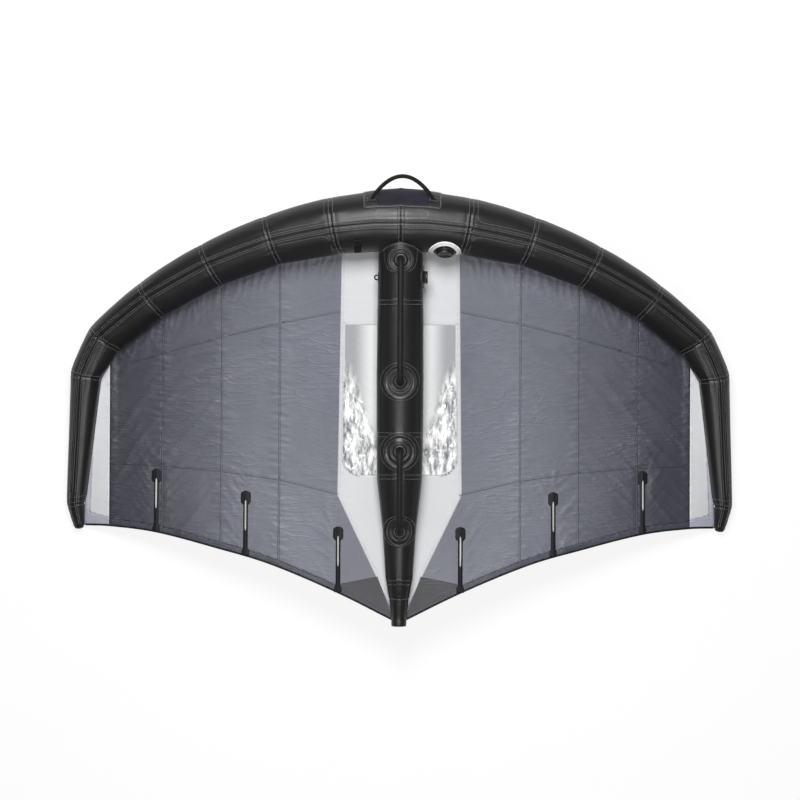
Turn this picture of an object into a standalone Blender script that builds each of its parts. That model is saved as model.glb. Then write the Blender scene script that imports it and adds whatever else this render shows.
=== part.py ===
"""An inflatable hand-held wing for wing foiling, lying on its two tips with its handles up.

+Y points to the nose, +X to one tip and +Z to the side that the handles are on. The origin is on
the floor, under the middle of the object. Each sewn panel, bladder, handle and valve is an object.
"""

import math

import bmesh
import bpy
from mathutils import Vector
from mathutils.bvhtree import BVHTree
from mathutils.geometry import delaunay_2d_cdt

# Overall sizes, in metres
half_span = 1.400
root_chord = 1.689
nose_y = 0.7557
centre_height = 0.300
gap = 0.0003
cloth = 0.003

# Leading-edge tube: places of its cross seams, from the centre to the tip
le_diameter = 0.263
le_span_shares = (0, 0.1923, 0.3796, 0.5643, 0.7443, 0.8871, 0.9429, 0.9725, 0.9632)
le_back_shares = (0, 0.0172, 0.0533, 0.1131, 0.1983, 0.2954, 0.3843, 0.7034, 0.7626)
le_height_shares = (1, 0.95, 0.833, 0.66, 0.45, 0, 0, 0, 0)
le_girth_shares = (1, 0.905, 0.798, 0.726, 0.643, 0.570, 0.490, 0.300, 0.179)
le_tilt_shares = (0, 0.1, 0.37, 0.63, 0.8, 1, 1, 1, 1)
le_sides = 19
sleeve_wall = 0.003
bladder_wall = 0.0015
bladder_gap = 0.001

# Centre strut: its seams run across at these places behind the nose
strut_diameter = 0.196
strut_back_shares = (0.0, 0.0781, 0.246, 0.3993, 0.5293, 0.6364, 0.7626, 0.884, 0.9331, 0.9778)
strut_girth_shares = (0.945, 0.95, 0.985, 1, 0.99, 0.968, 0.716, 0.575, 0.417, 0.327)
strut_drop_shares = (0, 0, 0, 0, 0, 0, 0.3, 0.62, 0.83, 1)
strut_tail_drop = 0.045
strut_panels = (("front", 0, 2), ("middle", 2, 4), ("rear", 4, 7), ("tail", 7, 9))
strut_sides = 16
strut_cap_length = 0.0375
strut_cap_rim = 0.003

# Canopy: its sheets, from the strut to the tip
camber = 0.045
camber_span_shares = (0, 0.09, 0.25, 0.45, 0.7, 0.87, 0.95)
camber_shares = (0, 0.35, 0.85, 1, 0.75, 0.35, 0)
edge_span_shares = (0.016, 0.183, 0.386, 0.537, 0.728, 0.869, 0.948)
edge_back_shares = (0.9866, 0.9183, 0.849, 0.8129, 0.7738, 0.7602, 0.7590)
edge_height_shares = (0.777, 0.75, 0.66, 0.56, 0.367, 0.18, 0.048)
sheet_step = 0.085
edge_band = 0.027
white_width = 0.239
white_corner_width = 0.2526
white_corner_back = 1.1455
white_tail_back = 1.608
window_margin = 0.0115
window_front_back = 0.432
window_rear_back = 1.063
window_corner = 0.071
inner_seam_share = 0.3593
outer_seam_share = 0.7111
strip_inner_share = 0.8711
strip_outer_share = 0.9134
strip_foot_share = 0.9243
strip_foot_back = 1.2286
strip_foot_rise = 0.021

# Battens in their sewn pockets, from the strut to the tip
batten_shares = (0.1814, 0.4579, 0.7271)
batten_lengths = (0.272, 0.268, 0.262)
batten_width = 0.019
batten_height = 0.005
batten_gap = 0.0007
batten_edge = 0.004

# Straight handles on the strut
base_backs = (0.174, 0.674, 0.962, 1.292)
base_radius = 0.056
base_height = 0.004
hub_radius = 0.029
hub_height = 0.016
grip_diameter = 0.0255
grip_rise = 0.066
grip_power = 5.0

# Nose handle and its pad
nose_handle_side = 0.006
nose_handle_half_width = 0.122
nose_handle_reach = 0.0916
nose_handle_lift = 25.0
nose_handle_diameter = 0.018
nose_foot_angle = 46.0
nose_pad_half_width = 0.1625
nose_pad_angles = (3.0, 66.0)
pad_height = 0.004

# Valves
le_valve_share = 0.13
le_valve_angle = 160.0
valve_ring_radius = 0.068
valve_ring_height = 0.002
valve_flange_radius = 0.047
valve_flange_height = 0.003
valve_neck_radius = 0.0355
valve_neck_height = 0.007
valve_stem_radius = 0.027
valve_stem_length = 0.030
cap_height = 0.009
cap_hinge_reach = 0.004
strut_valve_back = 0.242
knob_radius = 0.026
knob_height = 0.016

# Webbing tab on the leading edge and loop on the strut
tab_place = 0.1775
tab_width = 0.030
tab_angles = (124.0, 168.0)
webbing = 0.003
loop_back = 0.243
loop_length = 0.025
loop_reach = 0.017
loop_diameter = 0.006

tail_y = nose_y - root_chord
inner_seam = half_span * inner_seam_share
outer_seam = half_span * outer_seam_share
strip_inner = half_span * strip_inner_share
strip_outer = half_span * strip_outer_share
strip_foot = half_span * strip_foot_share
batten_places = [half_span * share for share in batten_shares]
le_valve_place = half_span * le_valve_share
le_step = math.tau / le_sides
right = 1
left = -1
sides = (("right", right), ("left", left))


def material(name, colour, roughness, metallic=0.0, alpha=1.0):
    made = bpy.data.materials.new(name)
    made.use_nodes = True
    shader = made.node_tree.nodes["Principled BSDF"]
    shader.inputs["Base Color"].default_value = (*colour, 1.0)
    shader.inputs["Roughness"].default_value = roughness
    shader.inputs["Metallic"].default_value = metallic
    shader.inputs["Alpha"].default_value = alpha
    made.diffuse_color = (*colour, 1.0)
    return made


def finish(name, bm, finish_material, origin=(0, 0, 0)):
    """A closed mesh becomes an object whose origin is at the given place."""
    place = Vector(origin)
    bmesh.ops.recalc_face_normals(bm, faces=bm.faces)
    if bm.calc_volume(signed=True) < 0:
        bmesh.ops.reverse_faces(bm, faces=bm.faces)
    for vertex in bm.verts:
        vertex.co -= place
    mesh = bpy.data.meshes.new(name)
    bm.to_mesh(mesh)
    bm.free()
    mesh.shade_smooth()
    mesh.set_sharp_from_angle(angle=math.radians(35))
    mesh.materials.append(finish_material)
    made = bpy.data.objects.new(name, mesh)
    made.location = place
    bpy.context.scene.collection.objects.link(made)
    return made


def cut(target, cutter):
    """Take the cutter's shape out of the target, and hide the cutter."""
    cutter.hide_render = True
    cutter.display_type = "WIRE"
    boolean = target.modifiers.new("cut", "BOOLEAN")
    boolean.operation = "DIFFERENCE"
    boolean.solver = "EXACT"
    boolean.object = cutter


def between(value, places, heights):
    """Straight-line reading of a table."""
    if value <= places[0]:
        return heights[0]
    for index in range(len(places) - 1):
        if value <= places[index + 1]:
            part = (value - places[index]) / (places[index + 1] - places[index])
            return heights[index] + (heights[index + 1] - heights[index]) * part
    return heights[-1]


def smooth(value, places, heights):
    """A smooth curve through a table's points."""
    last = len(places) - 1
    value = min(max(value, places[0]), places[last])
    index = next(i for i in range(last) if value <= places[i + 1])
    before, after = max(index - 1, 0), min(index + 2, last)
    width = places[index + 1] - places[index]
    part = (value - places[index]) / width
    start = (heights[index + 1] - heights[before]) / (places[index + 1] - places[before]) * width
    end = (heights[after] - heights[index]) / (places[after] - places[index]) * width
    square, cube = part * part, part * part * part
    return (
        heights[index] * (2 * cube - 3 * square + 1)
        + start * (cube - 2 * square + part)
        + heights[index + 1] * (3 * square - 2 * cube)
        + end * (cube - square)
    )


def skin(bm, row, following):
    """Join two rings with triangles, split along the shorter diagonal of each four points."""
    for k in range(len(row)):
        n = (k + 1) % len(row)
        a, b, c, d = row[k], row[n], following[n], following[k]
        if (a.co - c.co).length < (b.co - d.co).length:
            bm.faces.new((a, b, c))
            bm.faces.new((a, c, d))
        else:
            bm.faces.new((a, b, d))
            bm.faces.new((b, c, d))


def loft(bm, rings):
    rows = [[bm.verts.new(point) for point in ring] for ring in rings]
    for row, following in zip(rows, rows[1:]):
        skin(bm, row, following)
    return rows


def join_rings(bm, row, other):
    for k in range(len(row)):
        n = (k + 1) % len(row)
        bm.faces.new((row[k], row[n], other[n], other[k]))


# The leading-edge tube

class Station:
    """One cross seam of the leading-edge tube, on the +X side."""

    def __init__(self, index):
        self.radius = le_diameter / 2 * le_girth_shares[index]
        self.place = self.plan(index)
        before = self.place - self.plan(index - 1) if index else Vector((1, 0))
        last = index == len(le_span_shares) - 1
        after = before if last else self.plan(index + 1) - self.place
        if not index:
            before = Vector((after.x, -after.y))
        along = (before.normalized() + after.normalized()).normalized()
        self.inward = Vector((along.y, -along.x, 0))
        self.miter = 1 / along.dot(after.normalized())
        self.tilt = le_step * le_tilt_shares[index]
        rest = self.radius * math.cos(le_step / 2)
        self.height = max(rest, centre_height * le_height_shares[index])

    @staticmethod
    def plan(index):
        widest = max(le_span_shares)
        reach = half_span - le_diameter / 2 * le_girth_shares[le_span_shares.index(widest)]
        x = reach * le_span_shares[index] / widest
        return Vector((x, nose_y - root_chord * le_back_shares[index]))

    def point(self, angle, change=0.0):
        """A point at an angle up from the inner side, on the tube or off it by change."""
        radius = self.radius + change
        centre = Vector((self.place.x, self.place.y, self.height))
        across = self.inward * (radius * self.miter * math.cos(angle))
        return centre + across + Vector((0, 0, radius * math.sin(angle)))

    def ring(self, change=0.0):
        start = math.pi / 2 + self.tilt
        return [self.point(start + k * le_step, change) for k in range(le_sides)]


stations = [Station(index) for index in range(len(le_span_shares))]
last_station = len(stations) - 1
seam_vertex = le_sides - 7


def mirrored(points, side):
    return [Vector((side * point.x, point.y, point.z)) for point in points]


def blended(ring, other, part):
    return [a.lerp(b, part) for a, b in zip(ring, other)]


def sleeve_panel(name, index, side, finish_material):
    """One straight length of the leading-edge sleeve; the last one is closed at the tip."""
    first, second = stations[index], stations[index + 1]
    trim = gap / 2 / (second.place - first.place).length
    tip = index + 1 == last_station
    outer, inner = (
        [blended(first.ring(c), second.ring(c), t) for t in (trim, 1 - trim)]
        for c in (0.0, -sleeve_wall)
    )
    if tip:
        close = sleeve_wall / (second.place - first.place).length
        inner[1] = blended(first.ring(-sleeve_wall), second.ring(-sleeve_wall), 1 - close)
    bm = bmesh.new()
    outside = loft(bm, [mirrored(ring, side) for ring in outer])
    inside = loft(bm, [mirrored(ring, side) for ring in inner])
    join_rings(bm, outside[0], inside[0])
    if tip:
        bm.faces.new(outside[1])
        bm.faces.new(inside[1])
    else:
        join_rings(bm, outside[1], inside[1])
    return finish(name, bm, finish_material)


def le_bladder(finish_material):
    """One long air tube from tip to tip, inside the sleeve."""
    reach = -sleeve_wall - bladder_gap
    short = 2 * (sleeve_wall + bladder_gap) / (stations[-1].place - stations[-2].place).length

    def rings(change, end):
        half = [station.ring(change) for station in stations]
        half[-1] = blended(half[-2], half[-1], 1 - end)
        return [mirrored(ring, left) for ring in reversed(half[1:])] + half

    bm = bmesh.new()
    for change, end in ((reach, short), (reach - bladder_wall, 2 * short)):
        rows = loft(bm, rings(change, end))
        bm.faces.new(rows[0])
        bm.faces.new(rows[-1])
    made = finish("leading_edge_bladder", bm, finish_material)
    turn_inner_shell(made)
    return made


def turn_inner_shell(made):
    """The inner wall of a hollow body faces into the hollow."""
    bm = bmesh.new()
    bm.from_mesh(made.data)
    bm.verts.ensure_lookup_table()
    half = len(bm.verts) // 2
    inner = [face for face in bm.faces if min(v.index for v in face.verts) >= half]
    outer = [face for face in bm.faces if max(v.index for v in face.verts) < half]
    bmesh.ops.recalc_face_normals(bm, faces=inner)
    bmesh.ops.recalc_face_normals(bm, faces=outer)
    bmesh.ops.reverse_faces(bm, faces=inner)
    bm.to_mesh(made.data)
    bm.free()


def le_section(x):
    """The leading-edge tube's axis place, height and radius at a distance from the centre line."""
    part = abs(x) / stations[1].place.x
    first, second = stations[0], stations[1]
    return (
        first.place.y + (second.place.y - first.place.y) * part,
        first.height + (second.height - first.height) * part,
        (first.radius + (second.radius - first.radius) * part) * first.miter,
    )


def le_point(x, angle, lift):
    """A point on the middle of the leading edge, at an angle up from its front, or off it by lift."""
    y, z, radius = le_section(x)
    reach = radius + lift
    return Vector((x, y + reach * math.cos(angle), z + reach * math.sin(angle)))


# The centre strut

strut_backs = [root_chord * share for share in strut_back_shares]
strut_radii = [strut_diameter / 2 * share for share in strut_girth_shares]
strut_heights = [centre_height - strut_tail_drop * share for share in strut_drop_shares]


def strut_section(y):
    """The strut's axis height and radius."""
    back = nose_y - y
    return between(back, strut_backs, strut_heights), between(back, strut_backs, strut_radii)


def strut_ring(y, change=0.0):
    height, radius = strut_section(y)
    turn = math.tau / strut_sides
    angles = [turn * (k + 0.5) for k in range(strut_sides)]
    reach = radius + change
    return [Vector((reach * math.sin(a), y, height + reach * math.cos(a))) for a in angles]


def strut_point(y, angle, lift):
    """A point on the strut at an angle from its top line towards +X, or off it by lift."""
    height, radius = strut_section(y)
    reach = radius + lift
    return Vector((reach * math.sin(angle), y, height + reach * math.cos(angle)))


def strut_panel(name, first, second, finish_material):
    places = [nose_y - strut_backs[k] for k in range(first, second + 1)]
    places[0] -= gap / 2
    places[-1] += gap / 2
    bm = bmesh.new()
    outside = loft(bm, [strut_ring(y) for y in places])
    inside = loft(bm, [strut_ring(y, -sleeve_wall) for y in places])
    for row, other in ((outside[0], inside[0]), (outside[-1], inside[-1])):
        join_rings(bm, row, other)
    return finish(name, bm, finish_material)


def strut_bladder(finish_material):
    """The strut's own air tube, which ends short of the leading edge and of the end cap."""
    reach = -sleeve_wall - bladder_gap
    front = nose_y - le_diameter / 2 - strut_cap_length
    inner_places = [nose_y - back for back in strut_backs if nose_y - back < front]
    places = [front] + inner_places[:-1] + [inner_places[-1] + strut_cap_length / 2]
    bm = bmesh.new()
    for change, trim in ((reach, 0.0), (reach - bladder_wall, bladder_wall)):
        ends = [places[0] - trim] + places[1:-1] + [places[-1] + trim]
        rows = loft(bm, [strut_ring(y, change) for y in ends])
        bm.faces.new(rows[0])
        bm.faces.new(rows[-1])
    made = finish("strut_bladder", bm, finish_material)
    turn_inner_shell(made)
    return made


def strut_end_cap(finish_material):
    """A shallow cup sewn over the strut's rear end, with a flat end face."""
    front = nose_y - strut_backs[-1] - gap / 2
    bm = bmesh.new()
    rim, floor = tail_y + strut_cap_rim, tail_y + 2 * strut_cap_rim
    outer = loft(bm, [strut_ring(front), strut_ring(rim), strut_ring(tail_y, -strut_cap_rim)])
    inner = loft(bm, [strut_ring(front, -sleeve_wall), strut_ring(floor, -sleeve_wall)])
    join_rings(bm, outer[0], inner[0])
    bm.faces.new(outer[-1])
    bm.faces.new(inner[-1])
    return finish("strut_end_cap", bm, finish_material)


# The canopy: every sheet is cut from one surface between the tube and the trailing edge

def attach_point(station):
    """Where the canopy meets the tube, just off its lower inner side."""
    clear = station.inward * ((gap + cloth / 3) * station.miter)
    return station.ring()[seam_vertex] + clear


attach_points = [attach_point(station) for station in stations]
attach_x = [point.x for point in attach_points]
attach_x[-1] = max(attach_x[-1], attach_x[-2] + gap)
attach_y = [point.y for point in attach_points]
attach_z = [point.z for point in attach_points]
edge_x = [half_span * share for share in edge_span_shares]
edge_y = [nose_y - root_chord * share for share in edge_back_shares]
edge_z = [centre_height * share for share in edge_height_shares]
camber_x = [half_span * share for share in camber_span_shares]


def front_line(x):
    return between(x, attach_x, attach_y)


def rear_line(x):
    return between(x, edge_x, edge_y)


def surface(x, y):
    """The canopy's height at a place on the +X side."""
    front, rear = front_line(x), rear_line(x)
    depth = max(front - rear, edge_band)
    part = min(max((front - y) / depth, 0.0), 1.0)
    straight = between(x, attach_x, attach_z) * (1 - part) + smooth(x, edge_x, edge_z) * part
    fullness = camber * smooth(x, camber_x, camber_shares)
    return straight - fullness * depth * math.sin(math.pi * part ** 0.8)


def strut_side(y):
    """Half the width at which the canopy meets the strut."""
    height, radius = strut_section(y)
    under = height - surface(radius / 2, y) - cloth / 2
    return math.sqrt(max(radius * radius - under * under, radius * radius / 4)) + gap


def inside(point, outline):
    found = False
    for a, b in zip(outline, outline[1:] + outline[:1]):
        if (a[1] > point[1]) != (b[1] > point[1]):
            if point[0] < a[0] + (b[0] - a[0]) * (point[1] - a[1]) / (b[1] - a[1]):
                found = not found
    return found


def stepped(start, end, reach):
    """Points along a straight edge, without its end."""
    start, end = Vector(start), Vector(end)
    count = max(1, round((end - start).length / reach))
    return [tuple(start.lerp(end, k / count)) for k in range(count)]


def far_from_edge(point, outline, reach):
    here = Vector(point)
    for a, b in zip(outline, outline[1:] + outline[:1]):
        start, run = Vector(a), Vector(b) - Vector(a)
        part = min(max((here - start).dot(run) / run.length_squared, 0), 1)
        if (start + run * part - here).length < reach:
            return False
    return True


def sheet(name, corners, side, finish_material):
    """A closed sheet of cloth inside an outline, following the canopy's surface."""
    outline = []
    for start, end in zip(corners, corners[1:] + corners[:1]):
        outline += stepped(start, end, sheet_step)
    low = [min(point[k] for point in outline) for k in (0, 1)]
    high = [max(point[k] for point in outline) for k in (0, 1)]
    points = list(outline)
    for i in range(int((high[0] - low[0]) / sheet_step) + 1):
        for j in range(int((high[1] - low[1]) / sheet_step) + 1):
            place = (low[0] + (i + 0.5) * sheet_step, low[1] + (j + 0.5) * sheet_step)
            if inside(place, outline) and far_from_edge(place, outline, sheet_step * 0.45):
                points.append(place)
    edges = [(k, (k + 1) % len(outline)) for k in range(len(outline))]
    found = delaunay_2d_cdt([Vector(point) for point in points], edges, [], 0, gap / 10)
    flat, faces = found[0], found[2]
    bm = bmesh.new()
    lift = cloth / 2
    top = [bm.verts.new((side * p.x, p.y, surface(p.x, p.y) + lift)) for p in flat]
    low_side = [bm.verts.new((side * p.x, p.y, surface(p.x, p.y) - lift)) for p in flat]
    uses = {}
    for face in faces:
        centre = sum((flat[k] for k in face), Vector((0, 0))) / len(face)
        if not inside(centre, outline):
            continue
        bm.faces.new([top[k] for k in face])
        bm.faces.new([low_side[k] for k in reversed(face)])
        for a, b in zip(face, face[1:] + face[:1]):
            uses[(a, b)] = True
    for a, b in list(uses):
        if (b, a) not in uses:
            bm.faces.new((top[b], top[a], low_side[a], low_side[b]))
    loose = [vertex for vertex in bm.verts if not vertex.link_faces]
    bmesh.ops.delete(bm, geom=loose, context="VERTS")
    return finish(name, bm, finish_material)


def front_run(start, end):
    """The front line from one x to another, with its corners at the tube's seams."""
    low, high = min(start, end), max(start, end)
    knots = [x for x in attach_x if low < x < high]
    run = [low] + knots + [high]
    points = [(x, front_line(x)) for x in run]
    return points if start < end else points[::-1]


def rear_run(start, end, rise):
    low, high = min(start, end), max(start, end)
    run = [low] + [x for x in edge_x if low < x < high] + [high]
    points = [(x, rear_line(x) + rise) for x in run]
    return points if start < end else points[::-1]


def strut_run(start, end):
    """The sheet's edge along the strut from one y to another."""
    knots = [nose_y - back for back in strut_backs]
    low, high = min(start, end), max(start, end)
    run = [low] + sorted(y for y in knots if low < y < high) + [high]
    points = [(strut_side(y), y) for y in run]
    return points if start < end else points[::-1]


def white_line(y):
    """The white panel's outer edge."""
    corner = nose_y - white_corner_back
    part = (front_line(white_width) - y) / (front_line(white_width) - corner)
    return white_width + (white_corner_width - white_width) * part


def canopy(side_name, side, grey, white, clear, band, strip):
    half = gap / 2
    front_inner = strut_side(front_line(le_diameter / 4)) + gap
    corner = (white_corner_width, nose_y - white_corner_back)
    tail = (strut_side(nose_y - white_tail_back), nose_y - white_tail_back)
    window_top, window_foot = nose_y - window_front_back, nose_y - window_rear_back
    window_side = white_line((window_top + window_foot) / 2) - window_margin
    rounding = [
        (
            window_side - window_corner + window_corner * math.cos(angle),
            window_foot + window_corner - window_corner * math.sin(angle),
        )
        for angle in (k * math.pi / 8 for k in range(5))
    ]
    front_y = front_line(front_inner) - gap
    white_front = front_run(front_inner, white_width - half)
    white_front[0] = (front_inner, front_y)
    sheet(
        f"white_panel_{side_name}",
        white_front
        + [(corner[0] - half, corner[1]), (tail[0], tail[1] + half)]
        + strut_run(tail[1] + cloth, window_foot - half)
        + [(x + half, y - half) for x, y in rounding[::-1]]
        + [(window_side + half, window_top + half)]
        + strut_run(window_top + half, front_y - cloth),
        side,
        white,
    )
    sheet(
        f"window_{side_name}",
        strut_run(window_foot + half, window_top - half)
        + [(window_side - half, window_top - half)]
        + [(x - half, y + half) for x, y in rounding],
        side,
        clear,
    )
    rise = edge_band + half
    root_y = rear_line(edge_x[0]) + edge_band + gap
    sheet(
        f"canopy_inner_{side_name}",
        front_run(white_width + half, inner_seam - half)
        + rear_run(inner_seam - half, strut_side(root_y) + gap, rise)
        + strut_run(root_y + cloth, tail[1] - cloth)
        + [(tail[0], tail[1] - half), (corner[0] + half, corner[1] - half)],
        side,
        grey,
    )
    for name, first, second in (
        ("middle", inner_seam, outer_seam),
        ("outer", outer_seam, strip_inner),
    ):
        sheet(
            f"canopy_{name}_{side_name}",
            front_run(first + half, second - half) + rear_run(second - half, first + half, rise),
            side,
            grey,
        )
    foot = (strip_foot, nose_y - strip_foot_back)
    foot_in = (strip_inner, foot[1] - strip_foot_rise)
    sheet(
        f"tip_strip_{side_name}",
        front_run(strip_inner + half, strip_outer - half)
        + [(foot[0] - half, foot[1] + half), (foot_in[0] + half, foot_in[1] + half)],
        side,
        strip,
    )
    tip_x = attach_x[-2]
    sheet(
        f"tip_gore_{side_name}",
        front_run(strip_outer + half, tip_x)
        + rear_run(tip_x, strip_inner + half, 0)
        + [(foot_in[0] + half, foot_in[1] - half), (foot[0] + half, foot[1] - half)],
        side,
        strip,
    )
    band_root = strut_side(rear_line(edge_x[0])) + gap
    sheet(
        f"trailing_edge_band_{side_name}",
        rear_run(band_root, strip_inner - half, 0)
        + rear_run(strip_inner - half, band_root, edge_band - half),
        side,
        band,
    )


def sheet_tree(side_name):
    """The sheets of one side, to find the height of their top at a place."""
    trees = []
    for made in bpy.context.scene.objects:
        if made.name.endswith(side_name) and made.name.startswith(("canopy", "white", "trailing")):
            mesh = made.data
            points = [vertex.co for vertex in mesh.vertices]
            trees.append(BVHTree.FromPolygons(points, [tuple(f.vertices) for f in mesh.polygons]))
    return trees


def batten(name, x, length, side, trees, finish_material):
    """A stiff rod in its flat pocket, lying on the canopy up to the trailing edge."""
    foot = rear_line(x) + batten_edge
    above = Vector((0, 0, centre_height))
    count = 12
    rows = []
    for k in range(count + 1):
        y = foot + length * k / count
        tops = []
        for across in (-0.5, 0, 0.5):
            start = Vector((side * (x + across * batten_width), y, 0)) + above
            for tree in trees:
                for reach in (0, gap, -gap):
                    hit = tree.ray_cast(start + Vector((0, reach, 0)), Vector((0, 0, -1)))[0]
                    if hit:
                        tops.append(hit.z)
        z = max(tops) + batten_gap
        taper = 0.8 if k in (0, count) else 1.0
        low, high = x - batten_width / 2 * taper, x + batten_width / 2 * taper
        rows.append(
            [
                Vector((side * low, y, z)),
                Vector((side * high, y, z)),
                Vector((side * (x + batten_width / 4), y, z + batten_height)),
                Vector((side * (x - batten_width / 4), y, z + batten_height)),
            ]
        )
    bm = bmesh.new()
    made = loft(bm, rows)
    bm.faces.new(made[0])
    bm.faces.new(made[-1])
    return finish(name, bm, finish_material)


# Fittings that are bent round a tube

def patch(name, place, along, around, walls, finish_material, origin=(0, 0, 0), pieces=(3, 8)):
    """A pad on a tube: place(a, b, lift) between the knots of along, in around and in walls."""
    bm = bmesh.new()
    runs = [
        start + (end - start) * i / pieces[0]
        for start, end in zip(along, along[1:])
        for i in range(pieces[0])
    ] + [along[-1]]
    turns = [around[0] + (around[1] - around[0]) * j / pieces[1] for j in range(pieces[1] + 1)]
    pieces = (len(runs) - 1, pieces[1])
    grids = []
    for lift in walls:
        grids.append([[bm.verts.new(place(a, b, lift)) for b in turns] for a in runs])
    for rows in grids:
        for i in range(pieces[0]):
            for j in range(pieces[1]):
                bm.faces.new((rows[i][j], rows[i][j + 1], rows[i + 1][j + 1], rows[i + 1][j]))
    low, high = grids
    rim = [(i, 0) for i in range(pieces[0])]
    rim += [(pieces[0], j) for j in range(pieces[1])]
    rim += [(i, pieces[1]) for i in range(pieces[0], 0, -1)]
    rim += [(0, j) for j in range(pieces[1], 0, -1)]
    for (i, j), (m, n) in zip(rim, rim[1:] + rim[:1]):
        bm.faces.new((low[i][j], low[m][n], high[m][n], high[i][j]))
    return finish(name, bm, finish_material, origin)


def is_flat(face):
    centre = face.calc_center_median()
    return all(abs((vertex.co - centre).dot(face.normal)) < gap / 100 for vertex in face.verts)


def turned(name, rings, finish_material, origin=(0, 0, 0), hollow=False, segments=24):
    """A body of rings: each is a function of an angle. Hollow ones close on themselves."""
    bm = bmesh.new()
    rows = []
    for ring in rings:
        rows.append([bm.verts.new(ring(math.tau * k / segments)) for k in range(segments)])
    for row, other in zip(rows, rows[1:]):
        join_rings(bm, row, other)
    if hollow:
        join_rings(bm, rows[-1], rows[0])
    else:
        bm.faces.new(rows[0])
        bm.faces.new(rows[-1])
    bm.normal_update()
    bent = [face for face in bm.faces if not is_flat(face)]
    ends = [face for face in bent if len(face.verts) > 4]
    bmesh.ops.poke(bm, faces=ends)
    bmesh.ops.triangulate(bm, faces=[face for face in bent if face.is_valid])
    return finish(name, bm, finish_material, origin)


class Seat:
    """A round place on a tube, with bent rings that follow it and flat rings above its middle."""

    def __init__(self, wrap):
        self.wrap = wrap
        self.centre = wrap(0, 0, 0)
        self.along = (wrap(cloth, 0, 0) - wrap(-cloth, 0, 0)).normalized()
        across = (wrap(0, cloth, 0) - wrap(0, -cloth, 0)).normalized()
        skew = self.along.dot(across)
        self.stretch = 1 / math.sqrt(1 - skew * skew)
        self.lean = skew * self.stretch
        self.normal = self.along.cross(across).normalized()
        self.across = self.normal.cross(self.along)
        if self.normal.dot(wrap(0, 0, cloth) - self.centre) < 0:
            self.normal.negate()

    def bent(self, radius, lift):
        """A ring that follows the tube, round also where the tube's own directions lean."""
        def ring(a):
            along, around = radius * math.cos(a), radius * math.sin(a)
            return self.wrap(along - self.lean * around, around * self.stretch, lift)

        return ring

    def bent_run(self, start, end, lift, count=4):
        """Bent rings from one radius to another, close enough together to follow the tube."""
        return [self.bent(start + (end - start) * k / count, lift) for k in range(count + 1)]

    def flat(self, radius, lift):
        def ring(a):
            offset = self.along * (radius * math.cos(a)) + self.across * (radius * math.sin(a))
            return self.centre + offset + self.normal * lift

        return ring


def strut_top_seat(y):
    radius = strut_section(y)[1]
    return Seat(lambda a, b, lift: strut_point(y + a, b / radius, lift))


def strut_side_seat(y):
    radius = strut_section(y)[1]
    return Seat(lambda a, b, lift: strut_point(y + a, math.pi / 2 + b / radius, lift))


def le_seat(x, angle):
    radius = le_section(x)[2]
    return Seat(lambda a, b, lift: le_point(x + a, angle + b / radius, lift))


def rod(name, path, radius, finish_material, origin, count=10, axes=None):
    """A round bar along a path with domed ends, such as a padded handle."""
    bm = bmesh.new()
    rings = []
    last = len(path) - 1
    for k, point in enumerate(path):
        run = (path[min(k + 1, last)] - path[max(k - 1, 0)]).normalized()
        across = axes if axes else Vector((0, 0, 1))
        side_way = run.cross(across).normalized()
        up = side_way.cross(run).normalized()
        turns = [math.tau * j / count for j in range(count)]
        ring = [point + side_way * (radius * math.cos(t)) + up * (radius * math.sin(t)) for t in turns]
        if k in (0, last):
            out = -run if k == 0 else run
            domes = []
            for tilt in (1.35, 0.8):
                centre = point + out * (radius * math.sin(tilt))
                domes.append([centre + (p - point) * math.cos(tilt) for p in ring])
            rings += domes + [ring] if k == 0 else [ring] + domes[::-1]
        else:
            rings.append(ring)
    rows = loft(bm, rings)
    bm.faces.new(rows[0])
    bm.faces.new(rows[-1])
    return finish(name, bm, finish_material, origin)


def arch(start, end, rise_way, rise, power, count=16):
    """Points of a flattened arch from start to end."""
    middle = (start + end) / 2
    half = (end - start) / 2
    points = []
    for k in range(count + 1):
        turn = math.pi * (1 - k / count)
        across = math.copysign(abs(math.cos(turn)) ** (2 / power), math.cos(turn))
        up = max(math.sin(turn), 0) ** (2 / power)
        points.append(middle + half * across + rise_way * (rise * up))
    return points


def bow(start, end, rise_way, rise, count=16):
    """Points of a shallow bow from start to end, lowest and steepest at its feet."""
    points = []
    for k in range(count + 1):
        part = k / count
        points.append(start.lerp(end, part) + rise_way * (rise * 4 * part * (1 - part)))
    return points


def strut_handles(moulding, grip_material):
    hub_tops = []
    for number, back in enumerate(base_backs, 1):
        seat = strut_top_seat(nose_y - back)
        rings = seat.bent_run(hub_radius * 0.3, base_radius, gap * 2) + [
            seat.bent(base_radius, gap + base_height / 2),
            seat.bent(base_radius * 0.93, gap + base_height),
            seat.bent(hub_radius, gap + base_height),
            seat.flat(hub_radius * 0.9, hub_height),
        ]
        turned(f"handle_base_{number}", rings, moulding)
        hub_tops.append(seat.centre + seat.normal * (hub_height + grip_diameter / 2 + gap))
    for name, first in (("front_handle_grip", 0), ("rear_handle_grip", 2)):
        start, end = hub_tops[first], hub_tops[first + 1]
        path = arch(start, end, Vector((0, 0, 1)), grip_rise, grip_power)
        rod(name, path, grip_diameter / 2, grip_material, start, axes=Vector((1, 0, 0)))


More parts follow.
